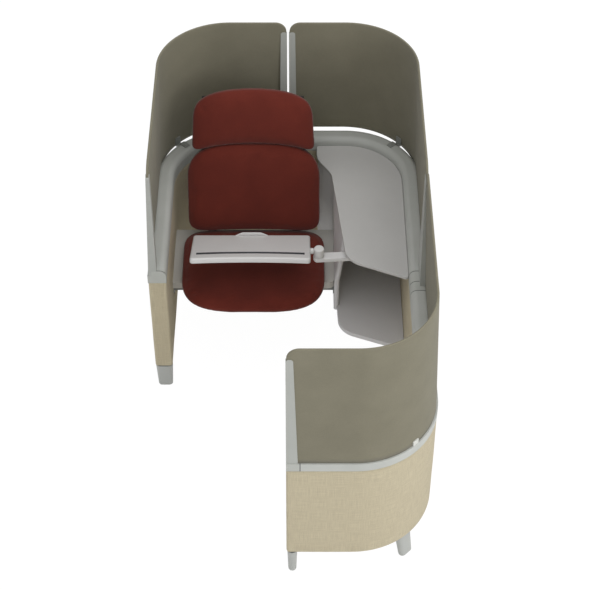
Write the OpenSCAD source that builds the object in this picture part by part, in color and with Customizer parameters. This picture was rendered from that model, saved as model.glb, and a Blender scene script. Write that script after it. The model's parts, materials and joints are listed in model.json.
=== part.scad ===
// Lounge armchair inside a low upholstered wall with curved privacy screens,
// a side table over a bag nook, and a tilting work tray on a swinging arm.
// Origin: middle of the footprint, on the floor. +X right, +Y to the back, +Z up.

/* [Overall] */
// Half of the width over the rails
half_w = 555; // [535:1:580]
// Half of the whole depth, from the rear posts to the front face of the extension
half_d = 949; // [930:1:980]
// Height to the top of the screens
screen_top = 1219; // [1150:1:1300]
// Where the base ends and the extension begins, measured from the origin along Y
joint_y = 5; // [-10:1:20]
// Gap between the ends of the base and the extension
joint_gap = 0.4; // [0.3:0.1:0.8]
// Where the free end of the extension stops, along X
free_end_x = -3; // [-40:1:60]

/* [Wall and rail] */
// Width of the capping rail
rail_w = 74; // [70:1:84]
// Height of the underside of the rail
rail_z = 617; // [600:1:640]
// Height of the rail section
rail_h = 64; // [58:1:70]
// Rounding of the top edges of the rail
rail_round = 26; // [20:1:28]
// Outer radius of the wall in plan at its corners
corner_r = 311; // [290:1:330]
// Distance from the rear face of the screens forward to the rear face of the rail
rail_set_in = 50; // [47:1:54]
// Height of the underside of the wall
wall_z = 129; // [115:1:150]
// Thickness of the wall over its cover
wall_t = 71; // [66:1:74]
// Thickness of the padded cover
cover_t = 7; // [4:1:12]
// Rounding of the lower edges of the cover
cover_round = 6; // [3:1:10]
// Length of an end cap on the rail
cap_l = 50; // [40:1:60]
// Length of the link sleeve beside the extension cap
sleeve_l = 50; // [30:1:60]
// Thickness of the cap on each free end of the base rail
cap_thick = 12; // [8:1:20]

/* [Screens] */
// Thickness of a screen panel
screen_t = 9; // [6:1:10]
// Height of the lower edge of the screens
screen_z = 655; // [650:1:660]
// How far the screens lean inward at their top
screen_lean = 23.5; // [10:0.5:30]
// How far the screens stand inside the outer face of the rail at the sides
screen_inset = 6; // [5:0.5:8]
// Radius of the screens in plan at the lower edge
screen_r = 313; // [300:1:330]
// Rounding of the upper corners of each panel
screen_corner = 45; // [30:1:60]
// Gap between the two rear panels at the centre
centre_gap = 8; // [6:1:12]
// Running gap between a panel and what holds it
screen_clear = 0.3; // [0.2:0.1:0.5]

/* [Posts and clips] */
// Height of the top of the posts
post_top = 1172; // [1120:1:1180]
// Width of a post along the wall at its top
post_w_top = 26; // [20:1:30]
// Width of a post along the wall at its foot
post_w_foot = 42; // [34:1:50]
// Thickness of a post across the wall at its top
post_t_top = 14; // [13:0.5:18]
// Thickness of a post across the wall at its foot
post_t_foot = 34; // [28:1:40]
// Width of the foot of the post at the rear end of the extension
post_w_link = 82; // [60:1:90]
// Skin of the post outside the screen
post_skin = 2.5; // [2:0.5:3]
// Width of a strap clip
clip_w = 28; // [20:1:36]
// Thickness of a strap clip
clip_t = 4; // [3:0.5:6]
// Height of the clip tab above the lower edge of the screen
clip_tab = 40; // [30:1:50]
// Height of the lip of the front clip outside the screen
clip_lip_h = 22; // [16:1:30]
// Thickness of that lip
clip_lip_t = 4.5; // [3:0.5:5]
// Chamfer at the top of a post
post_chamfer = 7; // [4:1:9]
// Diameter of the clip and bracket screws
clip_screw_d = 5; // [4:0.5:6]
// Half of the width of the bracket behind the rail
bracket_half = 40; // [34:1:60]
// Thickness of the bracket behind the rail
bracket_t = 6; // [4:1:8]
// Height of the lower edge of that bracket above the underside of the rail
bracket_up = 4; // [2:1:8]
// Height of the bracket screws above the underside of the rail
bracket_screw_up = 16; // [12:1:24]
// How much narrower the foot of a rear post is than the other feet
rear_foot_less = 10; // [4:1:12]
// How far a strap clip reaches past the middle of the rail
strap_past = 12; // [8:1:16]
// Length of the clip and bracket screws inside the rail
clip_screw_l = 20; // [16:1:24]
// Height of the head of a screw
screw_head_h = 2.5; // [2:0.5:3]

/* [Legs] */
// Longer width of a leg at its top
leg_l = 71; // [60:1:72]
// Longer width of a leg at its foot
leg_l_foot = 60; // [44:1:62]
// Shorter width of a leg at its top
leg_w = 38; // [32:1:44]
// Shorter width of a leg at its foot
leg_w_foot = 31; // [22:1:32]
// Thickness of the glide under a leg
glide_h = 4; // [3:0.5:6]
// Thickness of the steel plate on top of a leg
leg_plate_t = 5; // [4:0.5:8]
// How much smaller than the top of the leg that plate is
leg_plate_less = 4; // [3:1:6]
// Distance from a free end of the wall to the middle of its leg
leg_in = 22; // [20:1:60]
// How far the foot of the front corner leg is splayed outward
leg_splay = 22; // [0:1:24]
// Diameter of the leg bolts
bolt_d = 10; // [8:0.5:12]
// Length of a leg bolt above its plate
bolt_l = 60; // [40:1:80]
// Diameter of the glides
glide_d = 18; // [14:1:19]
// How far the leg bolts go down into the legs
bolt_down = 28; // [20:1:40]
// Height of the bevel round the foot of a leg
foot_bevel = 3; // [2:1:5]

/* [Seat] */
// Centre of the seat along X
seat_x = -144; // [-150:1:-134]
// Width of the seat cushion
seat_w = 602; // [580:1:610]
// Depth of the seat cushion
seat_d = 478; // [468:1:486]
// Front edge of the seat cushion along Y
seat_y = 46; // [36:1:56]
// Thickness of the seat cushion at its crown
seat_t = 74; // [60:1:85]
// Height of the top of the seat platform
platform_z = 384; // [370:1:400]
// Thickness of the seat platform
platform_t = 34; // [28:1:40]
// Front edge of the seat platform along Y
platform_y = 246; // [236:1:256]
// Depth of the seat platform
platform_d = 324; // [316:1:330]
// Height of a seat beam
beam_h = 40; // [30:1:50]
// Width of a seat beam
beam_w = 30; // [25:1:40]
// Wall of a seat beam
beam_wall = 3; // [2:0.5:4]
// Rounding of the front right corner of the seat platform
platform_round = 24; // [16:1:36]
// Front face of the front beam along Y
beam_y1 = 276; // [266:1:300]
// Front face of the rear beam along Y
beam_y2 = 466; // [440:1:468]
// Squareness of the front corners of the seat cushion in plan
seat_front_p = 3.3; // [2.6:0.1:6]
// Squareness of the rear corners of the seat cushion in plan
seat_rear_p = 6; // [4:0.5:12]
// How much the sides of a cushion are drawn in, as a share of its half width
cushion_pinch = 0.012; // [0:0.002:0.03]
// How far the plates at the ends of the beams stand out past them
beam_margin = 10; // [6:1:14]

/* [Back] */
// Recline of the back from upright, in degrees
recline = 18; // [12:1:22]
// Width of the back cushion
back_w = 564; // [540:1:576]
// Length of the back cushion along the recline
back_l = 392; // [370:1:400]
// Thickness of the back cushion at its crown
back_t = 72; // [60:1:80]
// Width of the headrest cushion
head_w = 518; // [490:1:525]
// Length of the headrest cushion along the recline
head_l = 233; // [220:1:245]
// Thickness of the headrest cushion at its crown
head_t = 62; // [50:1:70]
// Gap between the back cushion and the headrest along the recline, before their edges are bowed
head_gap = 1; // [0:0.5:10]
// How far the headrest lifts
head_lift = 60; // [30:1:60]
// Squareness of the lower corners of the back cushion
back_low_p = 8; // [4:0.5:10]
// Squareness of the upper corners of the back cushion
back_high_p = 3.6; // [3:0.1:6]
// How far the ends of the back cushion hang down
back_bow = 14; // [0:1:16]
// Squareness of the lower corners of the headrest
head_low_p = 12; // [5:1:16]
// Squareness of the upper corners of the headrest
head_high_p = 4; // [3:0.1:6]
// How far the ends of the headrest hang down
head_bow = 34; // [0:1:36]
// How much narrower the headrest is at its top, as a share of its width
head_flare = 0.05; // [0:0.01:0.08]
// Thickness of the back shell
shell_t = 14; // [10:1:18]
// Diameter of a headrest rod
rod_d = 12; // [10:0.5:14]
// Distance of each upright from the middle of the back
upright_x = 180; // [150:1:200]
// Width of an upright
upright_w = 36; // [30:1:44]
// Thickness of an upright
upright_t = 16; // [12:1:20]
// Depth of the foot of an upright on the platform
foot_d = 34; // [30:1:40]
// Thickness of that foot
foot_t = 8; // [6:1:12]
// Distance of each headrest rod from the middle of the back
rod_x = 95; // [80:1:120]
// How far the foot of the back stands forward of the rear edge of the seat cushion
back_forward = 68; // [58:1:72]
// Gap between the top of the seat cushion and the foot of the back
back_up = 7; // [4:1:12]
// How far the back shell stands in from the sides of its cushion
shell_side = 30; // [24:1:40]
// How far the back shell stands above the foot of its cushion
shell_low = 20; // [14:1:30]
// How far the back shell ends below the top of its cushion
shell_high = 27; // [20:1:50]
// Length of the cut across each corner of the back shell
shell_cut = 70; // [20:1:80]
// How far the uprights reach down below the foot of the back cushion
upright_down = 96; // [90:1:110]
// How far the uprights end below the top of the back cushion
upright_short = 66; // [60:1:80]
// Thickness of the headrest shell
head_shell_t = 8; // [6:1:10]
// How far the headrest shell stands in from the sides of its cushion
head_shell_side = 50; // [40:1:60]
// How far the headrest shell stands above the foot of its cushion
head_shell_low = 26; // [20:1:32]
// How far the headrest shell ends below the top of its cushion
head_shell_high = 34; // [28:1:40]
// Width of the bosses that hold the headrest rods
boss_w = 32; // [28:1:36]
// Length of the bosses that hold the headrest rods
boss_l = 70; // [64:1:76]
// How far a headrest rod goes up into its boss
rod_in = 60; // [50:1:62]
// How far a headrest rod reaches down below the top of the back cushion
rod_down = 190; // [184:1:200]
// Length of a rod guide
guide_l = 60; // [50:1:64]
// How far the lower end of a rod guide lies below the top of the back cushion
guide_down = 120; // [118:1:122]
// Thickness of a rod guide's wall beside the rod
guide_wall = 8; // [6:1:9]
// Gap between the back shell and the headrest rods
rod_gap = 5; // [4:0.5:6]

/* [Table and nook] */
// Height of the top of the side table
table_z = 645; // [635:1:655]
// Thickness of the side table
table_t = 14; // [12:1:18]
// Height of the underside of the bag shelf
shelf_z = 222; // [200:1:260]
// Thickness of the bag shelf
shelf_t = 20; // [15:1:25]
// Thickness of the curtain wall under the table
curtain_t = 22; // [16:1:26]
// Where the slanted left edge of the table starts, along X
edge_x0 = 232; // [226:1:240]
// Where the slanted left edge of the table starts, along Y
edge_y0 = 150; // [140:1:160]
// Slope of the left edge of the table, across per length
edge_slope = 0.1; // [0.06:0.01:0.12]
// Length over which the left edge swings to the left behind the seat
swing_l = 150; // [140:1:160]
// Distance from the end of that swing to the inner face of the rear rail
swing_end = 62.5; // [50:0.5:70]
// How far the edge swings to the left
swing_x = 64; // [40:1:70]
// Left edge of the bag shelf at its front corner, along X
shelf_edge = 212; // [206:1:220]
// Left face of the curtain wall below the table, along X
curtain_x = 193; // [189:1:196]
// How far the top of the curtain wall stands in from the edge of the table
curtain_inset = 3; // [2:1:8]
// Front end of the curtain wall along Y
curtain_y = 246; // [240:1:262]
// Leg length of the wall brackets
angle_l = 50; // [40:1:60]
// Thickness of the wall brackets
angle_t = 4; // [3:0.5:6]
// Width of the wall brackets
angle_w = 40; // [30:1:50]
// Front edge of the front wall brackets along Y
angle_y1 = 120; // [100:1:150]
// Front edge of the rear wall brackets along Y
angle_y2 = 460; // [430:1:490]
// Corner of the table before it is rounded, along Y
nose_y = 112; // [100:1:120]
// Rounding of that corner
nose_round = 100; // [80:1:110]
// Gap between the edges of the table and the wall
table_clear = 0.5; // [0.3:0.1:0.8]

/* [Tray] */
// Width of the tray
tray_w = 480; // [440:1:500]
// Depth of the tray
tray_d = 288; // [260:1:300]
// Thickness of the tray
tray_t = 24; // [20:1:28]
// Tilt of the tray at rest, in degrees
tray_tilt = 24; // [15:1:28]
// Rounding of the tray corners in plan
tray_corner = 14; // [8:1:20]
// Step of the upper and lower edges of the tray
tray_step = 3; // [2:0.5:5]
// Centre of the swivel knob along X
knob_x = 126; // [120:1:140]
// Centre of the swivel knob along Y
knob_y = 165; // [155:1:175]
// Diameter of the swivel knob
knob_d = 42; // [36:1:48]
// Distance from the swivel knob to the arm pivot
arm_l = 220; // [205:1:230]
// Direction of the arm from the knob, in degrees from +X towards +Y
arm_angle = 4; // [0:1:12]
// Width of the arm between its round ends
arm_w = 40; // [34:1:42]
// Diameter of the round ends of the arm
arm_end_d = 46; // [44:1:52]
// Thickness of the arm
arm_t = 20; // [16:1:22]
// Diameter of the arm pivot pin
pivot_d = 16; // [12:1:20]
// Radial clearance of a running fit
fit = 0.05; // [0.03:0.01:0.1]
// Thickness of the pivot plate under the table
pivot_plate_t = 16; // [12:0.5:18]
// Diameter of the pivot plate
pivot_plate_d = 84; // [80:1:90]
// Distance of the plate's screws from the pivot
pivot_screw_r = 32; // [28:1:34]
// How far those screws go up into the table
pivot_screw_l = 10; // [6:1:11]
// Thickness of the flange at the foot of the pivot pin
flange_t = 4; // [3:0.5:6]
// How far that flange stands out past the pin
flange_w = 5; // [4:1:8]
// Diameter of the swivel pin
swivel_d = 16; // [12:1:18]
// Height of the swivel pin above the arm
swivel_up = 12; // [8:1:14]
// Height of the tilt axis above the top of the arm
tilt_up = 27; // [25:1:30]
// Height of the swivel knob
knob_h = 42; // [38:1:46]
// Rounding of the top edge of the swivel knob
knob_round = 6; // [4:1:7]
// How far the tilt pin goes past the middle of the knob
tilt_pin_past = 12; // [8:1:14]
// How far the tilt pin goes into the tray
tilt_pin_in = 58; // [40:1:70]
// Width of the collar round the tilt pin between the tray and the knob
collar_w = 6; // [4:0.5:6]
// Diameter of the tilt pin
tilt_d = 12; // [10:0.5:14]
// Gap between the tray and the knob that the link bridges
link_l = 14; // [12:1:20]
// How deep the far edge of the tray is hollowed
tray_bow = 14; // [8:1:18]
// Far edge of the tray, measured from the tilt axis
tray_far = -124; // [-130:1:-118]
// Distance from the far edge to the slot
slot_in = 44; // [36:1:60]
// Width of the slot
slot_w = 23; // [10:1:24]
// Length of the slot
slot_l = 430; // [380:1:440]
// Depth of the slot
slot_h = 12; // [8:1:14]
// Thickness of the slot liner
slot_skin = 1.5; // [1:0.1:2]
// Length of the raised lip
lip_l = 136; // [120:1:150]
// Height of the raised lip
lip_h = 14; // [12:1:20]
// How much higher the arch of the lip would go if its top were not flat
lip_more = 5; // [1:1:8]
// Distance of the lip from the edge on the user side
lip_in = 4; // [3:1:8]
// Thickness of the raised lip
lip_t = 7; // [5:0.5:9]

/* [Hidden] */
$fn = 72;
soft_clear = 0.3;

screen_back = half_d - post_skin;
rail_back = screen_back - rail_set_in;
rail_top = rail_z + rail_h;
base_end = joint_y + joint_gap / 2;
ext_end = joint_y - joint_gap / 2;
rail_in_r = corner_r - rail_w;
corner_cx = half_w - corner_r;
corner_cy = rail_back - corner_r;
swing_y1 = rail_back - rail_w - swing_end;
swing_y0 = swing_y1 - swing_l;
wall_inset = (rail_w - wall_t) / 2;
inner_x = half_w - rail_w;
screen_side = half_w - screen_inset;
screen_front = half_d - screen_inset;
lean_slope = screen_lean / (screen_top - screen_z);
ledge_in = screen_inset + screen_t + lean_slope * (rail_top - screen_z) + screen_clear;
post_foot_z = screen_z;
leg_z = wall_z - leg_plate_t;

seat_top = platform_z + soft_clear + seat_t;
back_y0 = seat_y + seat_d - back_forward;
back_z0 = seat_top + back_up;
shell_gap = back_t + soft_clear;

beam_z = platform_z - platform_t - beam_h;
pivot_x = knob_x + arm_l * cos(arm_angle);
pivot_y = knob_y + arm_l * sin(arm_angle);

// A section carried along the right-hand wall: straight side, quarter turn, straight back.
// The section's x is the distance outside the outer face, its y is the height.
module follow_right(side, back, radius, y_from, x_to) {
    translate([side, back - radius, 0]) rotate([90, 0, 0])
        linear_extrude(back - radius - y_from) children();
    translate([side - radius, back - radius, 0]) rotate_extrude(angle = 90)
        translate([radius, 0]) children();
    translate([x_to, back, 0]) rotate([0, 0, 90]) rotate([90, 0, 0])
        linear_extrude(side - radius - x_to) children();
}

// The same section along a straight side run only, from y_from to y_to.
module side_run(side, y_from, y_to) {
    translate([side, y_to, 0]) rotate([90, 0, 0])
        linear_extrude(y_to - y_from) children();
}

// The same section along a straight back run only, from x_from to x_to.
module back_run(back, x_from, x_to) {
    translate([x_from, back, 0]) rotate([0, 0, 90]) rotate([90, 0, 0])
        linear_extrude(x_to - x_from) children();
}

// Turns a piece of the rear right corner into one of the front right corner.
module to_front() {
    mirror([0, 1, 0]) children();
}

// Turns a piece of the right side into one of the left side.
module to_left() {
    mirror([1, 0, 0]) children();
}

// Points of the round that replaces corner p between its neighbours a and b.
function fillet(a, p, b, r, n) =
    let(u = (a - p) / norm(a - p), v = (b - p) / norm(b - p),
        half = acos(u * v) / 2,
        c = p + (u + v) / norm(u + v) * r / sin(half),
        s = p + u * r / tan(half),
        e = p + v * r / tan(half),
        from = atan2(s[1] - c[1], s[0] - c[0]),
        turn = atan2(e[1] - c[1], e[0] - c[0]) - from,
        sweep = turn > 180 ? turn - 360 : turn < -180 ? turn + 360 : turn)
    [for (i = [0 : n]) c + r * [cos(from + sweep * i / n), sin(from + sweep * i / n)]];

// Section of the capping rail, with a ledge on its outer edge where a screen stands on it.
module rail_section(ledge) {
    difference() {
        translate([-rail_w, rail_z]) {
            square([rail_w, rail_h - rail_round]);
            translate([rail_round, 0]) square([rail_w - 2 * rail_round, rail_h]);
            for (x = [rail_round, rail_w - rail_round])
                translate([x, rail_h - rail_round]) circle(rail_round);
        }
        if (ledge) translate([-ledge_in, screen_z]) square([ledge_in + 1, rail_h]);
    }
}

// Section of the upholstered wall; inset shrinks it to its core, which is open to the rail.
module wall_section(inset) {
    r = inset > 0 ? 0.5 : cover_round;
    w = wall_t - 2 * inset;
    translate([-wall_inset - inset - w, wall_z + inset]) {
        translate([r, 0]) square([w - 2 * r, rail_z - wall_z - inset]);
        translate([0, r]) square([w, rail_z - wall_z - inset - r]);
        for (x = [r, w - r]) translate([x, r]) circle(r);
    }
}

// Section of a screen panel, leaning inward; grow adds a clearance on both faces.
module screen_section(grow) {
    polygon([
        [-screen_t - grow, screen_z], [grow, screen_z],
        [grow - screen_lean, screen_top], [-screen_t - screen_lean - grow, screen_top]
    ]);
}

// Room outside the inner face of a base screen, cut from the rail to leave the ledge.
module ledge_room() {
    follow_right(screen_side, screen_back, screen_r, base_end - 1, 0)
        translate([screen_inset - ledge_in, screen_z]) square([ledge_in + 2, rail_h]);
}

module base_rail() {
    difference() {
        follow_right(half_w, rail_back, corner_r, base_end + cap_thick, 0) rail_section(false);
        ledge_room();
        rear_clip_screws(clip_screw_d / 2);
        shelf_screws(clip_screw_d / 2);
    }
}

module rail_base_right() {
    color("#a5a7a2") base_rail();
}

module rail_base_left() {
    color("#a5a7a2") to_left() base_rail();
}

module rail_extension() {
    color("#a5a7a2") difference() {
        to_front() follow_right(half_w, half_d, corner_r, cap_l + sleeve_l - ext_end, free_end_x + cap_l)
            rail_section(true);
        to_front() front_clip_screw(clip_screw_d / 2);
    }
}

module base_cap() {
    side_run(half_w, base_end, base_end + cap_thick) rail_section(true);
}

module base_caps() {
    color("#a0a29d") {
        base_cap();
        to_left() base_cap();
    }
}

module cap_extension_rear() {
    color("#a0a29d") to_front() side_run(half_w, -ext_end, cap_l - ext_end) rail_section(true);
}

module link_sleeve() {
    color("#a8aaa5") to_front()
        side_run(half_w, cap_l - ext_end, cap_l + sleeve_l - ext_end) rail_section(true);
}

module cap_extension_front() {
    color("#a0a29d") to_front() back_run(half_d, free_end_x, free_end_x + cap_l) rail_section(true);
}

// Places something at the middle of each leg of the base's right half: the leg at the wall's end
// lies across the wall, and the one at the corner lies along it.
module at_base_leg(which) {
    if (which == 0)
        translate([half_w - rail_w / 2, base_end + leg_in, 0]) children();
    if (which == 1)
        translate([corner_cx, corner_cy, 0]) rotate(45)
            translate([corner_r - rail_w / 2, 0, 0]) rotate(90) children();
}

// The same for the extension: at its corner, and at its free end.
module at_extension_leg(which) {
    if (which == 0)
        translate([corner_cx, corner_r - half_d, 0]) rotate(-45)
            translate([corner_r - rail_w / 2, 0, 0]) rotate(90) children();
    if (which == 1)
        translate([free_end_x + leg_in, rail_w / 2 - half_d, 0]) rotate(-90) children();
}

module bolt_room() {
    translate([0, 0, leg_z - 1]) cylinder(d = bolt_d + 2 * fit, h = bolt_l + leg_plate_t + 1);
}

module base_cover() {
    difference() {
        follow_right(half_w, rail_back, corner_r, base_end, 0) wall_section(0);
        follow_right(half_w, rail_back, corner_r, base_end + cover_t, cover_t) wall_section(cover_t);
        for (i = [0, 1]) at_base_leg(i) bolt_room();
    }
}

module base_core() {
    difference() {
        follow_right(half_w, rail_back, corner_r, base_end + cover_t, cover_t) wall_section(cover_t);
        for (i = [0, 1]) at_base_leg(i) bolt_room();
    }
}

module wall_cover_right() {
    color("#c5b89b") base_cover();
}

module wall_cover_left() {
    color("#c5b89b") to_left() base_cover();
}

module wall_core_right() {
    color("#b89b72") base_core();
}

module wall_core_left() {
    color("#b89b72") to_left() base_core();
}

module wall_cover_extension() {
    color("#c5b89b") difference() {
        to_front() difference() {
            follow_right(half_w, half_d, corner_r, -ext_end, free_end_x) wall_section(0);
            follow_right(half_w, half_d, corner_r, cover_t - ext_end, free_end_x + cover_t)
                wall_section(cover_t);
        }
        for (i = [0, 1]) at_extension_leg(i) bolt_room();
    }
}

module wall_core_extension() {
    color("#b89b72") difference() {
        to_front() follow_right(half_w, half_d, corner_r, cover_t - ext_end, free_end_x + cover_t)
            wall_section(cover_t);
        for (i = [0, 1]) at_extension_leg(i) bolt_room();
    }
}

// The corner that is rounded away at the top of a panel's end, as a plane figure.
module corner_offcut() {
    difference() {
        translate([-post_skin - 1, -screen_corner])
            square([screen_corner + post_skin + 1, screen_corner + 1]);
        translate([screen_corner, -screen_corner]) circle(screen_corner);
    }
}

// Rounds the top corner of a side panel whose upright end is at y_end.
module side_corner_offcut(y_end) {
    translate([screen_side - 2 * screen_lean - screen_t, y_end, screen_top])
        rotate([90, 0, 90]) linear_extrude(2 * screen_lean + screen_t + 1) corner_offcut();
}

// Rounds the top corner of a back panel whose upright end is at x_end.
module back_corner_offcut(back, x_end) {
    translate([x_end, back + 1, screen_top]) rotate([90, 0, 0])
        linear_extrude(2 * screen_lean + screen_t + 2) corner_offcut();
}

module base_screen() {
    difference() {
        follow_right(screen_side, screen_back, screen_r, base_end + post_skin, centre_gap / 2 + post_skin)
            screen_section(0);
        side_corner_offcut(base_end + post_skin);
        back_corner_offcut(screen_back, centre_gap / 2 + post_skin);
    }
}

module screen_rear_right() {
    color("#6f6c5b") base_screen();
}

module screen_rear_left() {
    color("#6f6c5b") to_left() base_screen();
}

module screen_extension() {
    color("#6f6c5b") to_front() difference() {
        follow_right(screen_side, screen_front, corner_r - screen_inset,
            post_skin - ext_end, free_end_x + post_skin) screen_section(0);
        side_corner_offcut(post_skin - ext_end);
        back_corner_offcut(screen_front, free_end_x + post_skin);
    }
}

// A post in its own frame: +X outward from the outer face of the screen, +Y along the panel
// from its end. It is as wide as its front view and as thick as its side view, both tapered.
module post(foot_w, on_rail) {
    top_q = -lean_slope * (post_top - screen_z);
    room = 2 * foot_w;
    difference() {
        intersection() {
            translate([-room, 0, 0]) rotate([90, 0, 90]) linear_extrude(2 * room) polygon([
                [0, post_foot_z], [foot_w, post_foot_z],
                [post_w_top, post_top - post_chamfer], [post_w_top - post_chamfer, post_top],
                [post_chamfer, post_top], [0, post_top - post_chamfer]
            ]);
            translate([0, room, 0]) rotate([90, 0, 0]) linear_extrude(2 * room) polygon([
                [post_skin, post_foot_z], [post_skin + top_q, post_top],
                [post_skin + top_q - post_t_top, post_top],
                [post_skin - post_t_foot, post_foot_z + post_t_foot * 2],
                [post_skin - post_t_foot, post_foot_z]
            ]);
        }
        side_run(0, post_skin, room) screen_section(screen_clear);
        if (on_rail) side_run(screen_inset, -1, room) rail_section(true);
    }
}

module post_right_end() {
    color("#aaaca6") translate([screen_side, base_end, 0]) post(post_w_foot, true);
}

module post_left_end() {
    color("#aaaca6") to_left() translate([screen_side, base_end, 0]) post(post_w_foot, true);
}

module post_extension_rear() {
    color("#aaaca6") to_front() translate([screen_side, -ext_end, 0]) post(post_w_link, true);
}

module post_extension_front() {
    color("#aaaca6") translate([free_end_x, -screen_front, 0]) rotate(-90) post(post_w_foot, true);
}

// A centre post at the back, which stands on the rear bracket.
module rear_post() {
    translate([centre_gap / 2, screen_back, 0]) mirror([1, -1, 0])
        post(post_w_foot - rear_foot_less, false);
}

module post_rear_right() {
    color("#aaaca6") rear_post();
}

module post_rear_left() {
    color("#aaaca6") to_left() rear_post();
}

// Shelf bracket behind the rail that the two centre posts stand on.
module rear_bracket() {
    color("#8b8d88") difference() {
        union() {
            translate([-bracket_half, rail_back, screen_z - bracket_t])
                cube([2 * bracket_half, screen_back - rail_back, bracket_t]);
            translate([-bracket_half, rail_back, rail_z + bracket_up])
                cube([2 * bracket_half, bracket_t, screen_z - rail_z - bracket_up]);
        }
        shelf_screws(clip_screw_d / 2 + fit);
        to_left() shelf_screws(clip_screw_d / 2 + fit);
    }
}

// The screws that hold the rear bracket to the rail, right half.
module shelf_screws(r) {
    translate([bracket_half / 2, rail_back + bracket_t, rail_z + bracket_screw_up])
        rotate([90, 0, 0]) cylinder(r = r, h = bracket_t + clip_screw_l);
}

// Where a rear clip stands on the base's right corner.
module at_rear_clip() {
    translate([corner_cx, corner_cy, 0]) rotate(45) children();
}

// Distance of a screen's inner face from the rail's corner centre, along the clip's direction.
function clip_reach(z) =
    let(dx = screen_side - screen_r - corner_cx, dy = screen_back - screen_r - corner_cy,
        along = (dx + dy) * cos(45), across = (dy - dx) * cos(45),
        r = screen_r - screen_t - lean_slope * (z - screen_z))
    along + sqrt(r * r - across * across);

// The strap of a clip: it lies on the rounded top of the rail.
module strap_section() {
    difference() {
        translate([corner_r - rail_w, rail_z]) {
            translate([rail_w - rail_round, rail_h - rail_round]) circle(rail_round + clip_t);
            translate([rail_w / 2 - strap_past, rail_h - rail_round])
                square([rail_w / 2 + strap_past - rail_round, rail_round + clip_t]);
        }
        translate([corner_r, 0]) rail_section(false);
        square([corner_r - rail_w / 2 - strap_past, rail_top + 2 * clip_t]);
        square([corner_r + rail_w, rail_z + rail_h - rail_round]);
    }
}

module rear_clip() {
    turn = clip_w / corner_r * 180 / PI;
    bar_z = rail_top - rail_round + 1;
    reach = clip_reach(bar_z) - screen_clear;
    difference() {
        union() {
            at_rear_clip() rotate(-turn / 2) rotate_extrude(angle = turn) strap_section();
            at_rear_clip() translate([corner_r - 1, -clip_w / 2, bar_z])
                cube([reach - corner_r - 1, clip_w, clip_t]);
            at_rear_clip() translate([reach - clip_t - 2, -clip_w / 2, bar_z])
                cube([clip_t, clip_w, clip_tab]);
        }
        rear_clip_screws(clip_screw_d / 2 + fit);
        follow_right(screen_side, screen_back, screen_r, 0, 0) screen_section(screen_clear);
        at_rear_clip() rotate(-turn) rotate_extrude(angle = 2 * turn)
            translate([corner_r, 0]) rail_section(false);
    }
}

module rear_clip_screws(r) {
    at_rear_clip() translate([corner_r - rail_w / 2, 0, rail_top - clip_screw_l])
        cylinder(r = r, h = clip_screw_l + clip_t);
}

module rear_clips() {
    color("#6e706b") {
        rear_clip();
        to_left() rear_clip();
    }
}

// The clip at the extension's corner: a strap on the rail with a tab up the screen.
module front_clip_body() {
    turn = clip_w / corner_r * 180 / PI;
    face = corner_r - ledge_in + screen_clear;
    outer = corner_r - screen_inset;
    lip_lean = lean_slope * clip_lip_h;
    translate([corner_cx, half_d - corner_r, 0]) rotate(45 - turn / 2) rotate_extrude(angle = turn)
        difference() {
            union() {
                translate([corner_r - rail_w / 2 - strap_past, rail_top])
                    square([rail_w / 2 + strap_past - ledge_in, clip_t]);
                polygon([
                    [face - clip_t - 1, rail_top - 1], [face, rail_top - 1],
                    [face - lean_slope * clip_tab, rail_top + clip_tab],
                    [face - clip_t - 1, rail_top + clip_tab]
                ]);
                polygon([
                    [outer - 1, screen_z - 1], [outer + clip_lip_t, screen_z - 1],
                    [outer + clip_lip_t - lip_lean, screen_z + clip_lip_h],
                    [outer - 1 - lip_lean, screen_z + clip_lip_h]
                ]);
            }
            translate([corner_r, 0]) rail_section(true);
            translate([outer, 0]) screen_section(screen_clear);
        }
}

module front_clip_screw(r) {
    translate([corner_cx, half_d - corner_r, 0]) rotate(45)
        translate([corner_r - rail_w / 2, 0, rail_top - clip_screw_l])
            cylinder(r = r, h = clip_screw_l + clip_t);
}

module clip_extension() {
    color("#b4b6b0") to_front() difference() {
        front_clip_body();
        front_clip_screw(clip_screw_d / 2 + fit);
    }
}

// The head of a screw on top of a clip.
module clip_screw_at() {
    translate([corner_r - rail_w / 2, 0, rail_top + clip_t])
        cylinder(d = 2 * clip_screw_d, h = screw_head_h);
}

// All the screws of the part that stay with the frame, each with its head.
module screws() {
    color("#8a8c8a") {
        clip_screws();
        bracket_screws();
        back_screws();
        pivot_screws(0);
    }
}

module clip_screws() {
    for (m = [0, 1]) mirror([m, 0, 0]) {
        rear_clip_screws(clip_screw_d / 2);
        at_rear_clip() clip_screw_at();
    }
    to_front() {
        front_clip_screw(clip_screw_d / 2);
        translate([corner_cx, half_d - corner_r, 0]) rotate(45) clip_screw_at();
    }
}

module bracket_screws() {
    for (m = [0, 1]) mirror([m, 0, 0]) {
        shelf_screws(clip_screw_d / 2);
        translate([bracket_half / 2, rail_back + bracket_t + screw_head_h, rail_z + bracket_screw_up])
            rotate([90, 0, 0]) cylinder(d = 2 * clip_screw_d, h = screw_head_h);
    }
}

// A flat oval, long along X and short along Y.
module oval(length, width, height) {
    hull() for (s = [-1, 1])
        translate([s * (length - width) / 2, 0, 0]) cylinder(d = width, h = height, $fn = 32);
}

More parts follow.
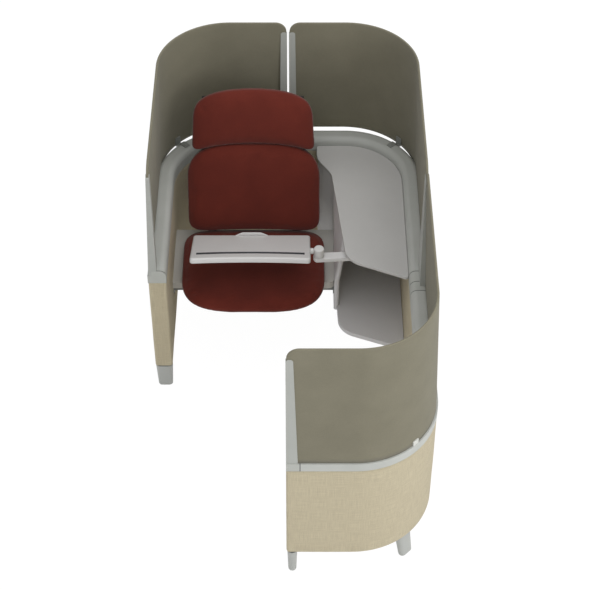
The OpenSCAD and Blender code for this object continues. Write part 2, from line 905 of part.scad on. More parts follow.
// A tapered leg under the wall; splay moves its foot out from a corner.
module leg(splay) {
    slice = 1;
    difference() {
        hull() {
            translate([0, 0, leg_z - slice]) oval(leg_l, leg_w, slice);
            translate([0, -splay, glide_h + foot_bevel]) oval(leg_l_foot, leg_w_foot, slice);
            translate([0, -splay, glide_h])
                oval(leg_l_foot - 2 * foot_bevel, leg_w_foot - 2 * foot_bevel, slice);
        }
        translate([0, 0, leg_z - bolt_down]) cylinder(d = bolt_d + 2 * fit, h = bolt_down + slice);
    }
}

module leg_left_end() {
    color("#b0b2ad") to_left() at_base_leg(0) leg(0);
}

module leg_right_end() {
    color("#b0b2ad") at_base_leg(0) leg(0);
}

module leg_rear_left() {
    color("#b0b2ad") to_left() at_base_leg(1) leg(0);
}

module leg_rear_right() {
    color("#b0b2ad") at_base_leg(1) leg(0);
}

module leg_extension_corner() {
    color("#b0b2ad") at_extension_leg(0) leg(leg_splay);
}

module leg_extension_front() {
    color("#b0b2ad") at_extension_leg(1) leg(0);
}

// One of a set for each leg: the base's pair, its mirror image, and the extension's two.
module at_each_leg() {
    for (i = [0, 1]) {
        at_base_leg(i) children();
        to_left() at_base_leg(i) children();
        at_extension_leg(i) children();
    }
}

module leg_plates() {
    color("#7d7f7c") at_each_leg() difference() {
        translate([0, 0, leg_z]) oval(leg_l - leg_plate_less, leg_w - leg_plate_less, leg_plate_t);
        bolt_room();
    }
}

module leg_bolts() {
    color("#8a8c8a") at_each_leg()
        translate([0, 0, leg_z - bolt_down]) cylinder(d = bolt_d, h = bolt_down + leg_plate_t + bolt_l - 1);
}

module leg_glides() {
    color("#3c3c3a") {
        for (i = [0, 1]) {
            at_base_leg(i) cylinder(d = glide_d, h = glide_h);
            to_left() at_base_leg(i) cylinder(d = glide_d, h = glide_h);
        }
        at_extension_leg(0) translate([0, -leg_splay, 0]) cylinder(d = glide_d, h = glide_h);
        at_extension_leg(1) cylinder(d = glide_d, h = glide_h);
    }
}

// Left edge of the table along Y: a straight slanted edge that swings left behind the seat.
function table_edge_x(y) =
    y < swing_y0 ? edge_x0 - edge_slope * (y - edge_y0)
    : table_edge_x(swing_y0 - 0.001)
        - swing_x * (1 - cos(180 * min(1, (y - swing_y0) / swing_l))) / 2;

// How far the curtain wall and the shelf stand to the side of the table's edge at the rear.
curtain_shift = curtain_x - table_edge_x(swing_y0);

// Plan of the table or the shelf; x_front is its left edge at the front corner before rounding,
// and shift moves its left edge at the rear.
module nook_plan(x_front, shift) {
    a = [inner_x - table_clear, base_end];
    b = [x_front, nose_y];
    c = [table_edge_x(swing_y0) + shift, swing_y0];
    back = rail_back - rail_w - table_clear;
    r = rail_in_r - table_clear;
    polygon(concat(
        [a],
        fillet(a, b, c, nose_round, 12),
        [for (i = [0 : 8]) let(y = swing_y0 + swing_l * i / 8) [table_edge_x(y) + shift, y]],
        [[table_edge_x(swing_y1) + shift, back]],
        [for (i = [0 : 12]) [corner_cx + r * sin(90 * i / 12), corner_cy + r * cos(90 * i / 12)]]
    ));
}

module side_table() {
    color("#969693") difference() {
        translate([0, 0, table_z - table_t]) linear_extrude(table_t) nook_plan(table_edge_x(nose_y), 0);
        pivot_screws(0);
    }
}

module bag_shelf() {
    color("#757170") translate([0, 0, shelf_z]) linear_extrude(shelf_t) {
        nook_plan(shelf_edge, curtain_shift);
        curtain_plan();
    }
}

// Plan of the curtain wall: a straight strip with a round front end, then the table's own curve.
module curtain_plan() {
    t = curtain_t;
    translate([curtain_x + t / 2, curtain_y + t / 2]) circle(t / 2);
    translate([curtain_x, curtain_y + t / 2]) square([t, swing_y0 - curtain_y - t / 2]);
    curtain_tail();
}

// The rear stretch of the curtain, under the edge of the table that swings behind the seat.
module curtain_tail() {
    back = rail_back - rail_w - table_clear;
    left = [for (i = [0 : 8]) let(y = swing_y0 + swing_l * i / 8) [table_edge_x(y) + curtain_shift, y]];
    right = [for (i = [8 : -1 : 0]) left[i] + [curtain_t, 0]];
    polygon(concat(left, [[left[8][0], back], [left[8][0] + curtain_t, back]], right));
}

// A short upright piece of the curtain at one end of its straight stretch.
module curtain_slice(x, y, z) {
    translate([x + curtain_t / 2, y, z]) cylinder(d = curtain_t, h = 1, $fn = 32);
}

// The curtain wall stands upright below the seat and leans out above it, to meet the table's edge.
module nook_curtain() {
    z0 = shelf_z + shelf_t;
    z1 = table_z - table_t;
    y0 = curtain_y + curtain_t / 2;
    color("#8b8988") {
        translate([0, 0, z0]) linear_extrude(platform_z - z0) curtain_plan();
        hull() {
            curtain_slice(curtain_x, y0, platform_z - 1);
            curtain_slice(curtain_x, swing_y0, platform_z - 1);
            curtain_slice(table_edge_x(y0) + curtain_inset, y0, z1 - 1);
            curtain_slice(curtain_x, swing_y0, z1 - 1);
        }
        translate([0, 0, z0]) linear_extrude(z1 - z0) curtain_tail();
    }
}

// A front and a rear angle bracket, which carry the table or the shelf from the wall.
module wall_angle(z) {
    for (y = [angle_y1, angle_y2]) translate([half_w - wall_inset - wall_t - angle_l, y, z - angle_l]) {
        translate([angle_l - angle_t, 0, 0]) cube([angle_t, angle_w, angle_l]);
        translate([0, 0, angle_l - angle_t]) cube([angle_l, angle_w, angle_t]);
    }
}

// The upper brackets are cut back where the rail comes down beside them.
module wall_brackets() {
    color("#5f615e") difference() {
        union() {
            wall_angle(table_z - table_t);
            wall_angle(shelf_z);
        }
        translate([inner_x, 0, rail_z]) cube([rail_w, half_d, rail_h]);
    }
}

beam_left = -(half_w - wall_inset - wall_t);
beam_right = curtain_x - angle_t;

// A steel cross beam of square tube from the left wall to the curtain side.
module seat_beam(y) {
    translate([beam_left + angle_t, y, beam_z]) difference() {
        cube([beam_right - beam_left - angle_t, beam_w, beam_h]);
        translate([-1, beam_wall, beam_wall])
            cube([beam_right - beam_left, beam_w - 2 * beam_wall, beam_h - 2 * beam_wall]);
    }
}

module seat_beams() {
    color("#70726f") {
        seat_beam(beam_y1);
        seat_beam(beam_y2);
    }
}

module beam_plates() {
    color("#5f615e") {
        beam_plate_left();
        beam_plate_right();
    }
}

// Plate on the left wall that the beams end on.
module beam_plate_left() {
    translate([beam_left, beam_y1 - beam_margin, beam_z - beam_margin])
        cube([angle_t, beam_y2 - beam_y1 + beam_w + 2 * beam_margin, beam_h + beam_margin]);
}

// Plate on the curtain wall that the beams end on.
module beam_plate_right() {
    translate([beam_right, beam_y1 - beam_margin, beam_z - beam_margin])
        cube([angle_t, beam_y2 - beam_y1 + beam_w + 2 * beam_margin, beam_h + beam_margin]);
}

// Moulded platform that carries the seat cushion, with a rounded rim.
module seat_platform() {
    left = beam_left + soft_clear;
    back = platform_y + platform_d;
    color("#a3a5a0") translate([0, 0, platform_z - platform_t]) linear_extrude(platform_t)
        polygon(concat(
            [[left, back], [left, platform_y]],
            fillet([left, platform_y], [curtain_x, platform_y], [curtain_x, back], platform_round, 8),
            [[curtain_x, back]]
        ));
}

// Distance from the centre to a rounded outline, half w by half d, in direction a.
// The outline is a superellipse whose power differs above and below the middle.
function outline_r(a, w, d, low_p, high_p) =
    let(p = sin(a) < 0 ? low_p : high_p)
    pow(pow(abs(cos(a)) / w, p) + pow(abs(sin(a)) / d, p), -1 / p);

// A cushion: rings from the middle of the crown over the drawn-in sides to the middle of the
// underside. Plan axes are X and Y; bow hangs both ends of the plan down, and flare narrows it
// towards its far side.
module cushion(w, d, t, low_p, high_p, bow, flare, rings, sides) {
    crown_p = 2.7;
    under_p = 5;
    side_p = 2.6;
    crown_drop = 0.16;
    bow_mid = 0.3;
    points = concat(
        [[0, 0, t]],
        [for (k = [1 : rings - 1], j = [0 : sides - 1])
            let(b = 90 - 180 * k / rings, a = 360 * j / sides,
                p = b > 0 ? crown_p : under_p,
                s = pow(cos(b), 2 / side_p),
                lift = sign(b) * pow(abs(sin(b)), 2 / p),
                drop = b > 0 ? crown_drop * s * s : 0,
                pinch = 1 - cushion_pinch * pow(cos(a), 4),
                r = outline_r(a, w / 2, d / 2, low_p, high_p) * s * pinch,
                y = r * sin(a), x = r * cos(a) * (1 - flare * (0.5 + y / d)))
            [x, y - bow * (pow(2 * x / w, 2) - bow_mid), t / 2 + lift * t / 2 * (1 - drop)]],
        [[0, 0, 0]]
    );
    last = len(points) - 1;
    polyhedron(points, concat(
        [for (j = [0 : sides - 1]) [0, 1 + (j + 1) % sides, 1 + j]],
        [for (k = [0 : rings - 3], j = [0 : sides - 1])
            let(p = 1 + k * sides, q = (j + 1) % sides) [p + j, p + q, p + sides + j]],
        [for (k = [0 : rings - 3], j = [0 : sides - 1])
            let(p = 1 + k * sides, q = (j + 1) % sides) [p + q, p + sides + q, p + sides + j]],
        [for (j = [0 : sides - 1])
            let(p = 1 + (rings - 2) * sides) [last, p + j, p + (j + 1) % sides]]
    ), convexity = 4);
}

module seat_cushion() {
    color("#5a261e") translate([seat_x, seat_y + seat_d / 2, platform_z + soft_clear])
        cushion(seat_w, seat_d, seat_t, seat_front_p, seat_rear_p, 0, 0, 16, 60);
}

// The reclined frame of the back: X across, Z up the slope, Y to the rear of the front face.
module on_back() {
    translate([seat_x, back_y0, back_z0]) rotate([-recline, 0, 0]) children();
}

// Turns a cushion made flat into one that stands on the slope with its crown forward.
module stand_up(t, z_mid) {
    translate([0, t, z_mid]) rotate([90, 0, 0]) children();
}

module back_cushion() {
    color("#5a261e") on_back() stand_up(back_t, back_l / 2)
        cushion(back_w, back_l, back_t, back_low_p, back_high_p, back_bow, 0, 14, 56);
}

module headrest_cushion() {
    color("#5a261e") on_back() stand_up(head_t, back_l + head_gap + head_l / 2)
        cushion(head_w, head_l, head_t, head_low_p, head_high_p, head_bow, head_flare, 14, 56);
}

// Moulded shell behind the back cushion.
module back_shell() {
    w = back_w - 2 * shell_side;
    color("#4a4a48") on_back() difference() {
        translate([0, shell_gap + shell_t, 0]) rotate([90, 0, 0]) linear_extrude(shell_t) difference() {
            translate([-w / 2, shell_low]) square([w, back_l - shell_low - shell_high]);
            for (s = [-1, 1], z = [shell_low, back_l - shell_high])
                translate([s * w / 2, z]) rotate(45) square(shell_cut, center = true);
        }
        for (s = [-1, 1]) translate([s * upright_x, shell_gap - 1, back_l / 2]) rotate([-90, 0, 0])
            cylinder(d = clip_screw_d, h = shell_t + 2);
    }
}

module back_upright(side) {
    on_back() difference() {
        translate([side * upright_x - upright_w / 2, shell_gap + shell_t, -upright_down])
            cube([upright_w, upright_t, upright_down + back_l - upright_short]);
        translate([side * upright_x, shell_gap, back_l / 2]) rotate([-90, 0, 0])
            cylinder(d = clip_screw_d, h = shell_t + upright_t + 1);
    }
}

// An upright with its foot bolted on the platform; what reaches lower is cut off.
module upright_with_foot(side) {
    front_y = back_y0 + (shell_gap + shell_t) / cos(recline) - (back_z0 - platform_z) * tan(recline);
    difference() {
        union() {
            back_upright(side);
            translate([seat_x + side * upright_x - upright_w / 2, front_y, platform_z])
                cube([upright_w, foot_d, foot_t]);
        }
        translate([-half_w, 0, 0]) cube([2 * half_w, half_d, platform_z]);
    }
}

module back_uprights() {
    color("#70726f") {
        upright_with_foot(-1);
        upright_with_foot(1);
    }
}

rod_y = shell_gap + shell_t + rod_d / 2 + rod_gap;
head_shell_y = head_t + soft_clear;

// Shell behind the headrest cushion with two bosses that hold the rods.
module headrest_shell() {
    z0 = back_l + head_gap + head_shell_low;
    color("#4a4a48") on_back() difference() {
        union() {
            translate([-head_w / 2 + head_shell_side, head_shell_y, z0])
                cube([head_w - 2 * head_shell_side, head_shell_t, head_l - head_shell_low - head_shell_high]);
            for (s = [-1, 1]) translate([s * rod_x - boss_w / 2, head_shell_y, z0])
                cube([boss_w, rod_y + rod_d - head_shell_y, boss_l]);
        }
        rods(rod_d / 2);
    }
}

module rods(r) {
    for (s = [-1, 1]) translate([s * rod_x, rod_y, back_l - rod_down])
        cylinder(r = r, h = rod_down + head_gap + head_shell_low + rod_in);
}

module headrest_rods() {
    color("#b8bab8") on_back() rods(rod_d / 2);
}

// Guides on the back shell in which the rods slide.
module rod_guides() {
    color("#3c3c3a") on_back() for (s = [-1, 1]) difference() {
        translate([s * rod_x - rod_d / 2 - guide_wall, shell_gap + shell_t, back_l - guide_down])
            cube([rod_d + 2 * guide_wall, rod_gap + rod_d + guide_wall, guide_l]);
        translate([s * rod_x, rod_y, back_l - guide_down - 1]) cylinder(r = rod_d / 2 + fit, h = guide_l + 2);
    }
}

// Screws that hold the shell to the uprights.
module back_screws() {
    short = 2;
    on_back() for (s = [-1, 1])
        translate([s * upright_x, shell_gap + short, back_l / 2]) rotate([-90, 0, 0])
            cylinder(d = clip_screw_d, h = shell_t + upright_t - 2 * short);
}

// Plate under the table that carries the arm's pivot.
pivot_plate_z = table_z - table_t - pivot_plate_t;
arm_z1 = pivot_plate_z - soft_clear;
arm_z0 = arm_z1 - arm_t;
flange_z = arm_z0 - soft_clear - flange_t;

module at_pivot() {
    translate([pivot_x, pivot_y, 0]) children();
}

// The screws of the pivot plate, flush with its underside; down lengthens a cut made with them.
module pivot_screws(down) {
    at_pivot() for (a = [45 : 90 : 315]) rotate(a)
        translate([pivot_screw_r, 0, pivot_plate_z - down])
            cylinder(d = clip_screw_d, h = down + pivot_plate_t + pivot_screw_l);
}

module pivot_plate() {
    color("#5f615e") difference() {
        at_pivot() translate([0, 0, pivot_plate_z]) cylinder(d = pivot_plate_d, h = pivot_plate_t);
        at_pivot() translate([0, 0, pivot_plate_z - 1]) cylinder(d = pivot_d, h = pivot_plate_t + 2);
        pivot_screws(1);
    }
}

// The pin hangs from the plate and the arm turns on it above its flange.
module pivot_pin() {
    color("#b8bab8") at_pivot() {
        translate([0, 0, flange_z]) cylinder(d = pivot_d + 2 * flange_w, h = flange_t);
        translate([0, 0, flange_z]) cylinder(d = pivot_d, h = table_z - table_t - flange_z);
    }
}

// Plan of the arm: a bar that runs into a round end at the knob and another at the pivot.
module arm_plan() {
    bar_from = arm_end_d / 4;
    translate([bar_from, -arm_w / 2]) square([arm_l - 2 * bar_from, arm_w]);
    circle(d = arm_end_d);
    translate([arm_l, 0]) circle(d = arm_end_d);
}

module tray_arm() {
    color("#b0b1ae") difference() {
        translate([knob_x, knob_y, arm_z0]) rotate(arm_angle) linear_extrude(arm_t) arm_plan();
        at_pivot() translate([0, 0, arm_z0 - 1]) cylinder(r = pivot_d / 2 + fit, h = arm_t + 2);
        translate([knob_x, knob_y, arm_z0 - 1]) cylinder(d = swivel_d, h = arm_t + 2);
    }
}

// Fixed in the arm; the knob turns on it.
module swivel_pin() {
    color("#b8bab8") translate([knob_x, knob_y, arm_z0]) cylinder(d = swivel_d, h = arm_t + swivel_up);
}

tilt_z = arm_z1 + tilt_up;

module swivel_knob() {
    color("#b6b7b4") difference() {
        translate([knob_x, knob_y, arm_z1 + soft_clear]) {
            cylinder(d = knob_d, h = knob_h - knob_round);
            cylinder(d = knob_d - 2 * knob_round, h = knob_h);
            rotate_extrude() translate([knob_d / 2 - knob_round, knob_h - knob_round]) circle(knob_round);
        }
        translate([knob_x, knob_y, arm_z0]) cylinder(r = swivel_d / 2 + fit, h = arm_t + swivel_up + 2);
        translate([knob_x - knob_d, knob_y, tilt_z]) rotate([0, 90, 0])
            cylinder(r = tilt_d / 2 + fit, h = knob_d + tilt_pin_past + soft_clear);
    }
}

// The tilted frame of the tray: its origin is on the tilt axis at the knob's centre.
module on_tray() {
    translate([knob_x, knob_y, tilt_z]) rotate([-tray_tilt, 0, 0]) children();
}

tray_right = -knob_d / 2 - link_l;
tray_left = tray_right - tray_w;
collar_gap = 1.5;

// A disc that hollows the far edge of the tray, bow deep over the width.
module far_bow(y_mid) {
    r = (pow(tray_w / 2, 2) + pow(tray_bow, 2)) / (2 * tray_bow);
    translate([(tray_left + tray_right) / 2, y_mid - r]) circle(r, $fn = 360);
}

module tray_plan() {
    x0 = tray_left;
    x1 = tray_right;
    difference() {
        union() {
            translate([x0, tray_far + tray_corner]) square([tray_w, tray_d - 2 * tray_corner]);
            translate([x0 + tray_corner, tray_far]) square([tray_w - 2 * tray_corner, tray_d]);
            for (x = [x0 + tray_corner, x1 - tray_corner])
                for (y = [tray_far + tray_corner, tray_far + tray_d - tray_corner])
                    translate([x, y]) circle(tray_corner);
        }
        far_bow(tray_far + tray_bow);
    }
}

// The slot that holds a screen or a book, a curved strip parallel to the far edge.
module slot_plan(grow) {
    intersection() {
        difference() {
            far_bow(tray_far + slot_in + slot_w + grow);
            far_bow(tray_far + slot_in - grow);
        }
        translate([(tray_left + tray_right - slot_l) / 2 - grow, tray_far - tray_bow])
            square([slot_l + 2 * grow, tray_d]);
    }
}

module tray_top() {
    color("#b3b2b1") on_tray() difference() {
        union() {
            translate([0, 0, tray_step - tray_t / 2]) linear_extrude(tray_t - 2 * tray_step) tray_plan();
            translate([0, 0, -tray_t / 2]) linear_extrude(tray_t) difference() {
                tray_plan();
                tray_rim();
            }
        }
        translate([0, 0, tray_t / 2 - slot_h]) linear_extrude(slot_h + 1) slot_plan(slot_skin);
        translate([tray_right - tilt_pin_in, 0, 0]) rotate([0, 90, 0])
            cylinder(d = tilt_d, h = tilt_pin_in + 1);
    }
}

// A thin band round the plan that is set back on the upper and lower faces.
module tray_rim() {
    for (x = [tray_left - 1, tray_right - tray_step])
        translate([x, tray_far - 1]) square([tray_step + 1, tray_d + 2]);
    translate([tray_left, tray_far + tray_d - tray_step]) square([tray_w, tray_step + 1]);
    far_bow(tray_far + tray_bow + tray_step);
}

module slot_liner() {
    color("#4d4d50") on_tray() translate([0, 0, tray_t / 2 - slot_h]) linear_extrude(slot_h - fit)
        difference() {
            slot_plan(slot_skin);
            slot_plan(0);
        }
}

// Raised stop on the user's edge of the tray, an arch with a flat top.
module tray_lip() {
    mid = (tray_left + tray_right) / 2;
    arch = lip_h + lip_more;
    r = (pow(lip_l / 2, 2) + pow(arch, 2)) / (2 * arch);
    color("#b8b7b6") on_tray() intersection() {
        translate([mid, tray_far + tray_d - lip_in, tray_t / 2 + arch - r]) rotate([90, 0, 0])
            cylinder(r = r, h = lip_t, $fn = 240);
        translate([mid - lip_l, tray_far, tray_t / 2]) cube([2 * lip_l, tray_d, lip_h]);
    }
}

module tilt_pin() {
    color("#b8bab8") on_tray() {
        translate([tray_right - tilt_pin_in, 0, 0]) rotate([0, 90, 0])
            cylinder(d = tilt_d, h = tilt_pin_in + link_l + knob_d / 2 + tilt_pin_past);
        translate([tray_right, 0, 0]) rotate([0, 90, 0])
            cylinder(d = tilt_d + 2 * collar_w, h = link_l - collar_gap);
    }
}

rail_base_left();
rail_base_right();
rail_extension();
base_caps();
cap_extension_rear();
link_sleeve();
cap_extension_front();
wall_cover_left();
wall_cover_right();
wall_cover_extension();
wall_core_left();
wall_core_right();
wall_core_extension();
screen_rear_left();
screen_rear_right();
screen_extension();
post_left_end();
post_right_end();
post_extension_rear();
post_extension_front();
post_rear_left();
post_rear_right();
rear_bracket();
rear_clips();
clip_extension();
screws();
leg_left_end();
leg_right_end();
leg_rear_left();
leg_rear_right();
leg_extension_corner();
leg_extension_front();
leg_plates();
leg_bolts();
leg_glides();
side_table();
bag_shelf();
nook_curtain();
wall_brackets();
seat_beams();
beam_plates();
seat_platform();
seat_cushion();
back_cushion();
headrest_cushion();
back_shell();
back_uprights();
headrest_shell();
headrest_rods();
rod_guides();
pivot_plate();
pivot_pin();
tray_arm();
swivel_pin();
swivel_knob();
tray_top();
slot_liner();
tray_lip();
tilt_pin();
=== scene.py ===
# %% [markdown]
# # A lounge armchair behind a privacy screen
# The model comes from the construction drawing: every rigid piece is already there, at its
# real size in metres. This lesson dresses it. Soft pieces are made new, cloth and mouldings
# get their surfaces, and a camera and soft studio lamps show the whole.

# %% Load the frame
import json
import math

import bmesh
import bpy
import numpy as np
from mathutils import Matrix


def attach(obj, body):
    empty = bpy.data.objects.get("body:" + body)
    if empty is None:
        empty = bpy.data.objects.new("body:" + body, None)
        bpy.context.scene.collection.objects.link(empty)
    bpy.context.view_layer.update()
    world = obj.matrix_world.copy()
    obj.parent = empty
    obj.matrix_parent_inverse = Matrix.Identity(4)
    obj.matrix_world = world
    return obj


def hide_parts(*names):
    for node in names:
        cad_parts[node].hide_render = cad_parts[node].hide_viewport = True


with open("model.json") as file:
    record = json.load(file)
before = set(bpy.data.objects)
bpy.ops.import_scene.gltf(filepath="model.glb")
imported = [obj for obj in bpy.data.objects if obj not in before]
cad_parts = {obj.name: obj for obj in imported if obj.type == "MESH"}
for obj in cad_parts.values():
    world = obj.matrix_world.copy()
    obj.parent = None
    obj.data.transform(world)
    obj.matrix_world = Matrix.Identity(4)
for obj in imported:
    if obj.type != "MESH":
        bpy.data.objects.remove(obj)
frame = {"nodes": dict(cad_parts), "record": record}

scene = bpy.context.scene
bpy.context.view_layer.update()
slot_of = {row["node"]: row["material_slot"] for row in frame["record"]["subparts"]}

# %% [markdown]
# ## Camera
# The seat was photographed from the front and 45 degrees above, with a long lens. A long lens
# far away keeps the uprights nearly parallel, which is what the photograph shows.

# %% Camera
camera_data = bpy.data.cameras.new("studio_camera")
camera_data.lens = 100.0
camera_data.sensor_width = 36.0
camera = bpy.data.objects.new("studio_camera", camera_data)
camera.location = (0.0291, -4.6296, 5.1856)
camera.rotation_euler = (math.radians(45.0), 0.0, 0.0)
scene.collection.objects.link(camera)
scene.camera = camera
scene.view_settings.view_transform = "Standard"
print("camera at", tuple(round(c, 3) for c in camera.location))

# %% [markdown]
# ## Building surfaces from arrays
# Nearly every new piece is a grid of points: rows along the piece, columns round its section.
# numpy works out all the points at once, and one call puts them into the mesh. The two ends of
# a tube are shut with a fan of triangles to a middle point. Each corner of each face also
# keeps how far it lies along and round the piece, in metres, so that a weave can follow it.

# %% Grid to mesh
TINY = 1e-9    # keeps a division by a length from failing where the length is zero


def grid_object(name, points, along, round_):
    """A tube from points[row, column]; the last column joins column 0.
    along and round_ are the distances, in metres, that the weave follows."""
    rows, cols = points.shape[:2]
    i, j = np.meshgrid(np.arange(rows - 1), np.arange(cols), indexing="ij")
    k = (j + 1) % cols
    quads = np.stack([i * cols + j, i * cols + k, (i + 1) * cols + k, (i + 1) * cols + j], -1)
    quads = quads.reshape(-1, 4)
    u = np.stack([along[i, j], along[i, k], along[i + 1, k], along[i + 1, j]], -1).reshape(-1, 4)
    v = np.stack([round_[j], round_[j + 1], round_[j + 1], round_[j]], -1).reshape(-1, 4)
    verts = points.reshape(-1, 3)
    uv = np.stack([u, v], -1).reshape(-1, 2)
    loops, sizes = [quads.ravel()], [np.full(len(quads), 4)]
    this = np.arange(cols)
    following = (this + 1) % cols
    for row, order in ((0, 1), (rows - 1, -1)):
        middle = len(verts)
        verts = np.vstack([verts, points[row].mean(0)])
        fan = [np.full(cols, middle), row * cols + following, row * cols + this]
        flat = points[row] - points[row].mean(0)
        across = flat[:, :2] @ flat[0, :2] / (np.linalg.norm(flat[0, :2]) + TINY)
        side = np.array([across, flat[:, 2]]).T
        fan_uv = [np.zeros((cols, 2)), side[following], side[this]]
        uv = np.vstack([uv, np.stack(fan_uv[::order], 1).reshape(-1, 2)])
        loops.append(np.stack(fan[::order], -1).ravel())
        sizes.append(np.full(cols, 3))
    return mesh_object(name, verts, np.concatenate(loops), np.concatenate(sizes), uv)


def mesh_object(name, verts, loops, sizes, uv=None):
    """Puts corner, face and texture arrays into a new smooth-shaded mesh in single calls."""
    mesh = bpy.data.meshes.new(name)
    mesh.vertices.add(len(verts))
    mesh.vertices.foreach_set("co", np.asarray(verts, np.float32).ravel())
    mesh.loops.add(len(loops))
    mesh.loops.foreach_set("vertex_index", loops.astype(np.int32))
    mesh.polygons.add(len(sizes))
    starts = np.concatenate([[0], np.cumsum(sizes)[:-1]])
    mesh.polygons.foreach_set("loop_start", starts.astype(np.int32))
    mesh.update(calc_edges=True)
    mesh.validate()
    if uv is not None:
        layer = mesh.uv_layers.new(name="cloth")
        layer.data.foreach_set("uv", np.asarray(uv, np.float32).ravel())
    mesh.polygons.foreach_set("use_smooth", np.ones(len(sizes), bool))
    obj = bpy.data.objects.new(name, mesh)
    scene.collection.objects.link(obj)
    return obj


def plain_grid(name, points):
    """A tube that has no weave to follow."""
    rows, cols = points.shape[:2]
    return grid_object(name, points, np.zeros((rows, cols)), np.zeros(cols + 1))


def dress(obj, body, node, slot_name):
    """Gives a new piece its finish and lets it stand for a drawn node on the same body."""
    obj.data.materials.append(finish_of[slot_name])
    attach(obj, body)
    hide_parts(node)


print("grid helpers are ready")

# %% [markdown]
# ## Shared surface effects
# Small effects that several finishes need are node groups. Each takes a position and a size
# and puts out a colour, a mask or a height. The height feeds a Bump node in the finish.

# %% Group helper
def new_group(name, inputs, outputs):
    """An empty node group with the named float or vector sockets."""
    kinds = {"f": "NodeSocketFloat", "v": "NodeSocketVector"}
    group = bpy.data.node_groups.new(name, "ShaderNodeTree")
    for socket, kind, value in inputs:
        made = group.interface.new_socket(socket, in_out="INPUT", socket_type=kinds[kind])
        if value is not None:
            made.default_value = value
    for socket, kind in outputs:
        group.interface.new_socket(socket, in_out="OUTPUT", socket_type=kinds[kind])
    return group, group.nodes.new("NodeGroupInput"), group.nodes.new("NodeGroupOutput")


def wire(tree, kind, inputs=None, **settings):
    """Adds one node, sets its properties, and joins or sets its inputs."""
    node = tree.nodes.new(kind)
    for key, value in settings.items():
        setattr(node, key, value)
    for key, value in (inputs or {}).items():
        if isinstance(value, bpy.types.NodeSocket):
            tree.links.new(value, node.inputs[key])
        else:
            node.inputs[key].default_value = value
    return node


def maths(tree, operation, a, b=0.0, c=0.0):
    """One Math node and its result."""
    return wire(tree, "ShaderNodeMath", {0: a, 1: b, 2: c}, operation=operation).outputs[0]


def blend_colour(tree, factor, a, b, mode="MIX"):
    """One colour Mix node and its result."""
    node = wire(tree, "ShaderNodeMix", {0: factor, 6: a, 7: b}, data_type="RGBA", blend_type=mode)
    return node.outputs[2]


def noise(tree, vector, scale, detail=2.0, rough=0.5):
    """One Noise Texture and its grey value."""
    node = wire(tree, "ShaderNodeTexNoise",
                {"Vector": vector, "Scale": scale, "Detail": detail, "Roughness": rough})
    return node.outputs["Fac"]


def stretch(tree, vector, scale):
    """The position scaled by a different amount along each axis."""
    return wire(tree, "ShaderNodeMapping", {"Vector": vector, "Scale": scale}).outputs[0]


print("node helpers are ready")

# %% [markdown]
# ### Weave
# A plain weave is two sets of threads. Along one direction each thread is a rounded ridge, and
# so it is along the other. On a chequerboard of crossings one set lies on top, then the other.
# Thick and thin yarns make long streaks, which come from noise drawn out along the threads.

# %% Weave group
def weave_group():
    """Height: ridges |sin| of each thread set, chosen by the chequer of crossings."""
    tree, given, out = new_group(
        "plain_weave",
        [("Vector", "v", None), ("Threads per m", "f", 1000.0), ("Slub", "f", 0.5)],
        [("Height", "f"), ("Streaks", "f")])
    parts = wire(tree, "ShaderNodeSeparateXYZ", {0: given.outputs["Vector"]})
    ridge, cell, streaks = [], [], []
    for axis in (0, 1):
        turns = maths(tree, "MULTIPLY", parts.outputs[axis], given.outputs["Threads per m"])
        wave = maths(tree, "SINE", maths(tree, "MULTIPLY", turns, math.pi))
        ridge.append(maths(tree, "ABSOLUTE", wave))
        cell.append(maths(tree, "FLOOR", turns))
        scale = (1.0, 0.035, 1.0) if axis == 0 else (0.035, 1.0, 1.0)
        long = stretch(tree, given.outputs["Vector"], scale)
        streaks.append(noise(tree, long, 420.0, 3.0, 0.6))
    crossings = maths(tree, "ABSOLUTE", maths(tree, "ADD", cell[0], cell[1]))
    over = maths(tree, "GREATER_THAN", maths(tree, "MODULO", crossings, 2.0), 0.5)
    low = maths(tree, "MULTIPLY", ridge[1], maths(tree, "SUBTRACT", 1.0, over))
    height = maths(tree, "MULTIPLY_ADD", ridge[0], over, low)
    both = maths(tree, "ADD", streaks[0], streaks[1])
    centred = maths(tree, "SUBTRACT", both, 1.0)
    slub = maths(tree, "MULTIPLY", centred, given.outputs["Slub"])
    tree.links.new(maths(tree, "ADD", height, slub), out.inputs["Height"])
    tree.links.new(maths(tree, "MULTIPLY_ADD", centred, 1.6, 0.5), out.inputs["Streaks"])
    return tree


plain_weave = weave_group()
print("weave group:", len(plain_weave.nodes), "nodes")

# %% [markdown]
# ### Fibres, grain and handling
# Felt and wool show short crossed fibres; mouldings and powder coat show a fine pebble grain.
# Where hands and bags rub, a surface turns a little smoother or paler in cloudy patches.

# %% Fibre, grain and handling groups
def fibre_group():
    """Height and tone: two noises drawn out along crossing directions."""
    tree, given, out = new_group(
        "crossed_fibres", [("Vector", "v", None), ("Scale", "f", 300.0)],
        [("Height", "f"), ("Tone", "f")])
    place, scale = given.outputs[0], given.outputs[1]
    first = noise(tree, stretch(tree, place, (1.0, 0.2, 0.45)), scale, 4.0, 0.6)
    second = noise(tree, stretch(tree, place, (0.2, 1.0, 1.0)), scale, 4.0, 0.6)
    both = maths(tree, "MAXIMUM", first, second)
    tree.links.new(both, out.inputs["Height"])
    cloud = noise(tree, place, 9.0, 3.0, 0.55)
    fine, broad = maths(tree, "MULTIPLY", both, 0.55), maths(tree, "MULTIPLY", cloud, 0.45)
    tree.links.new(maths(tree, "ADD", fine, broad), out.inputs["Tone"])
    return tree


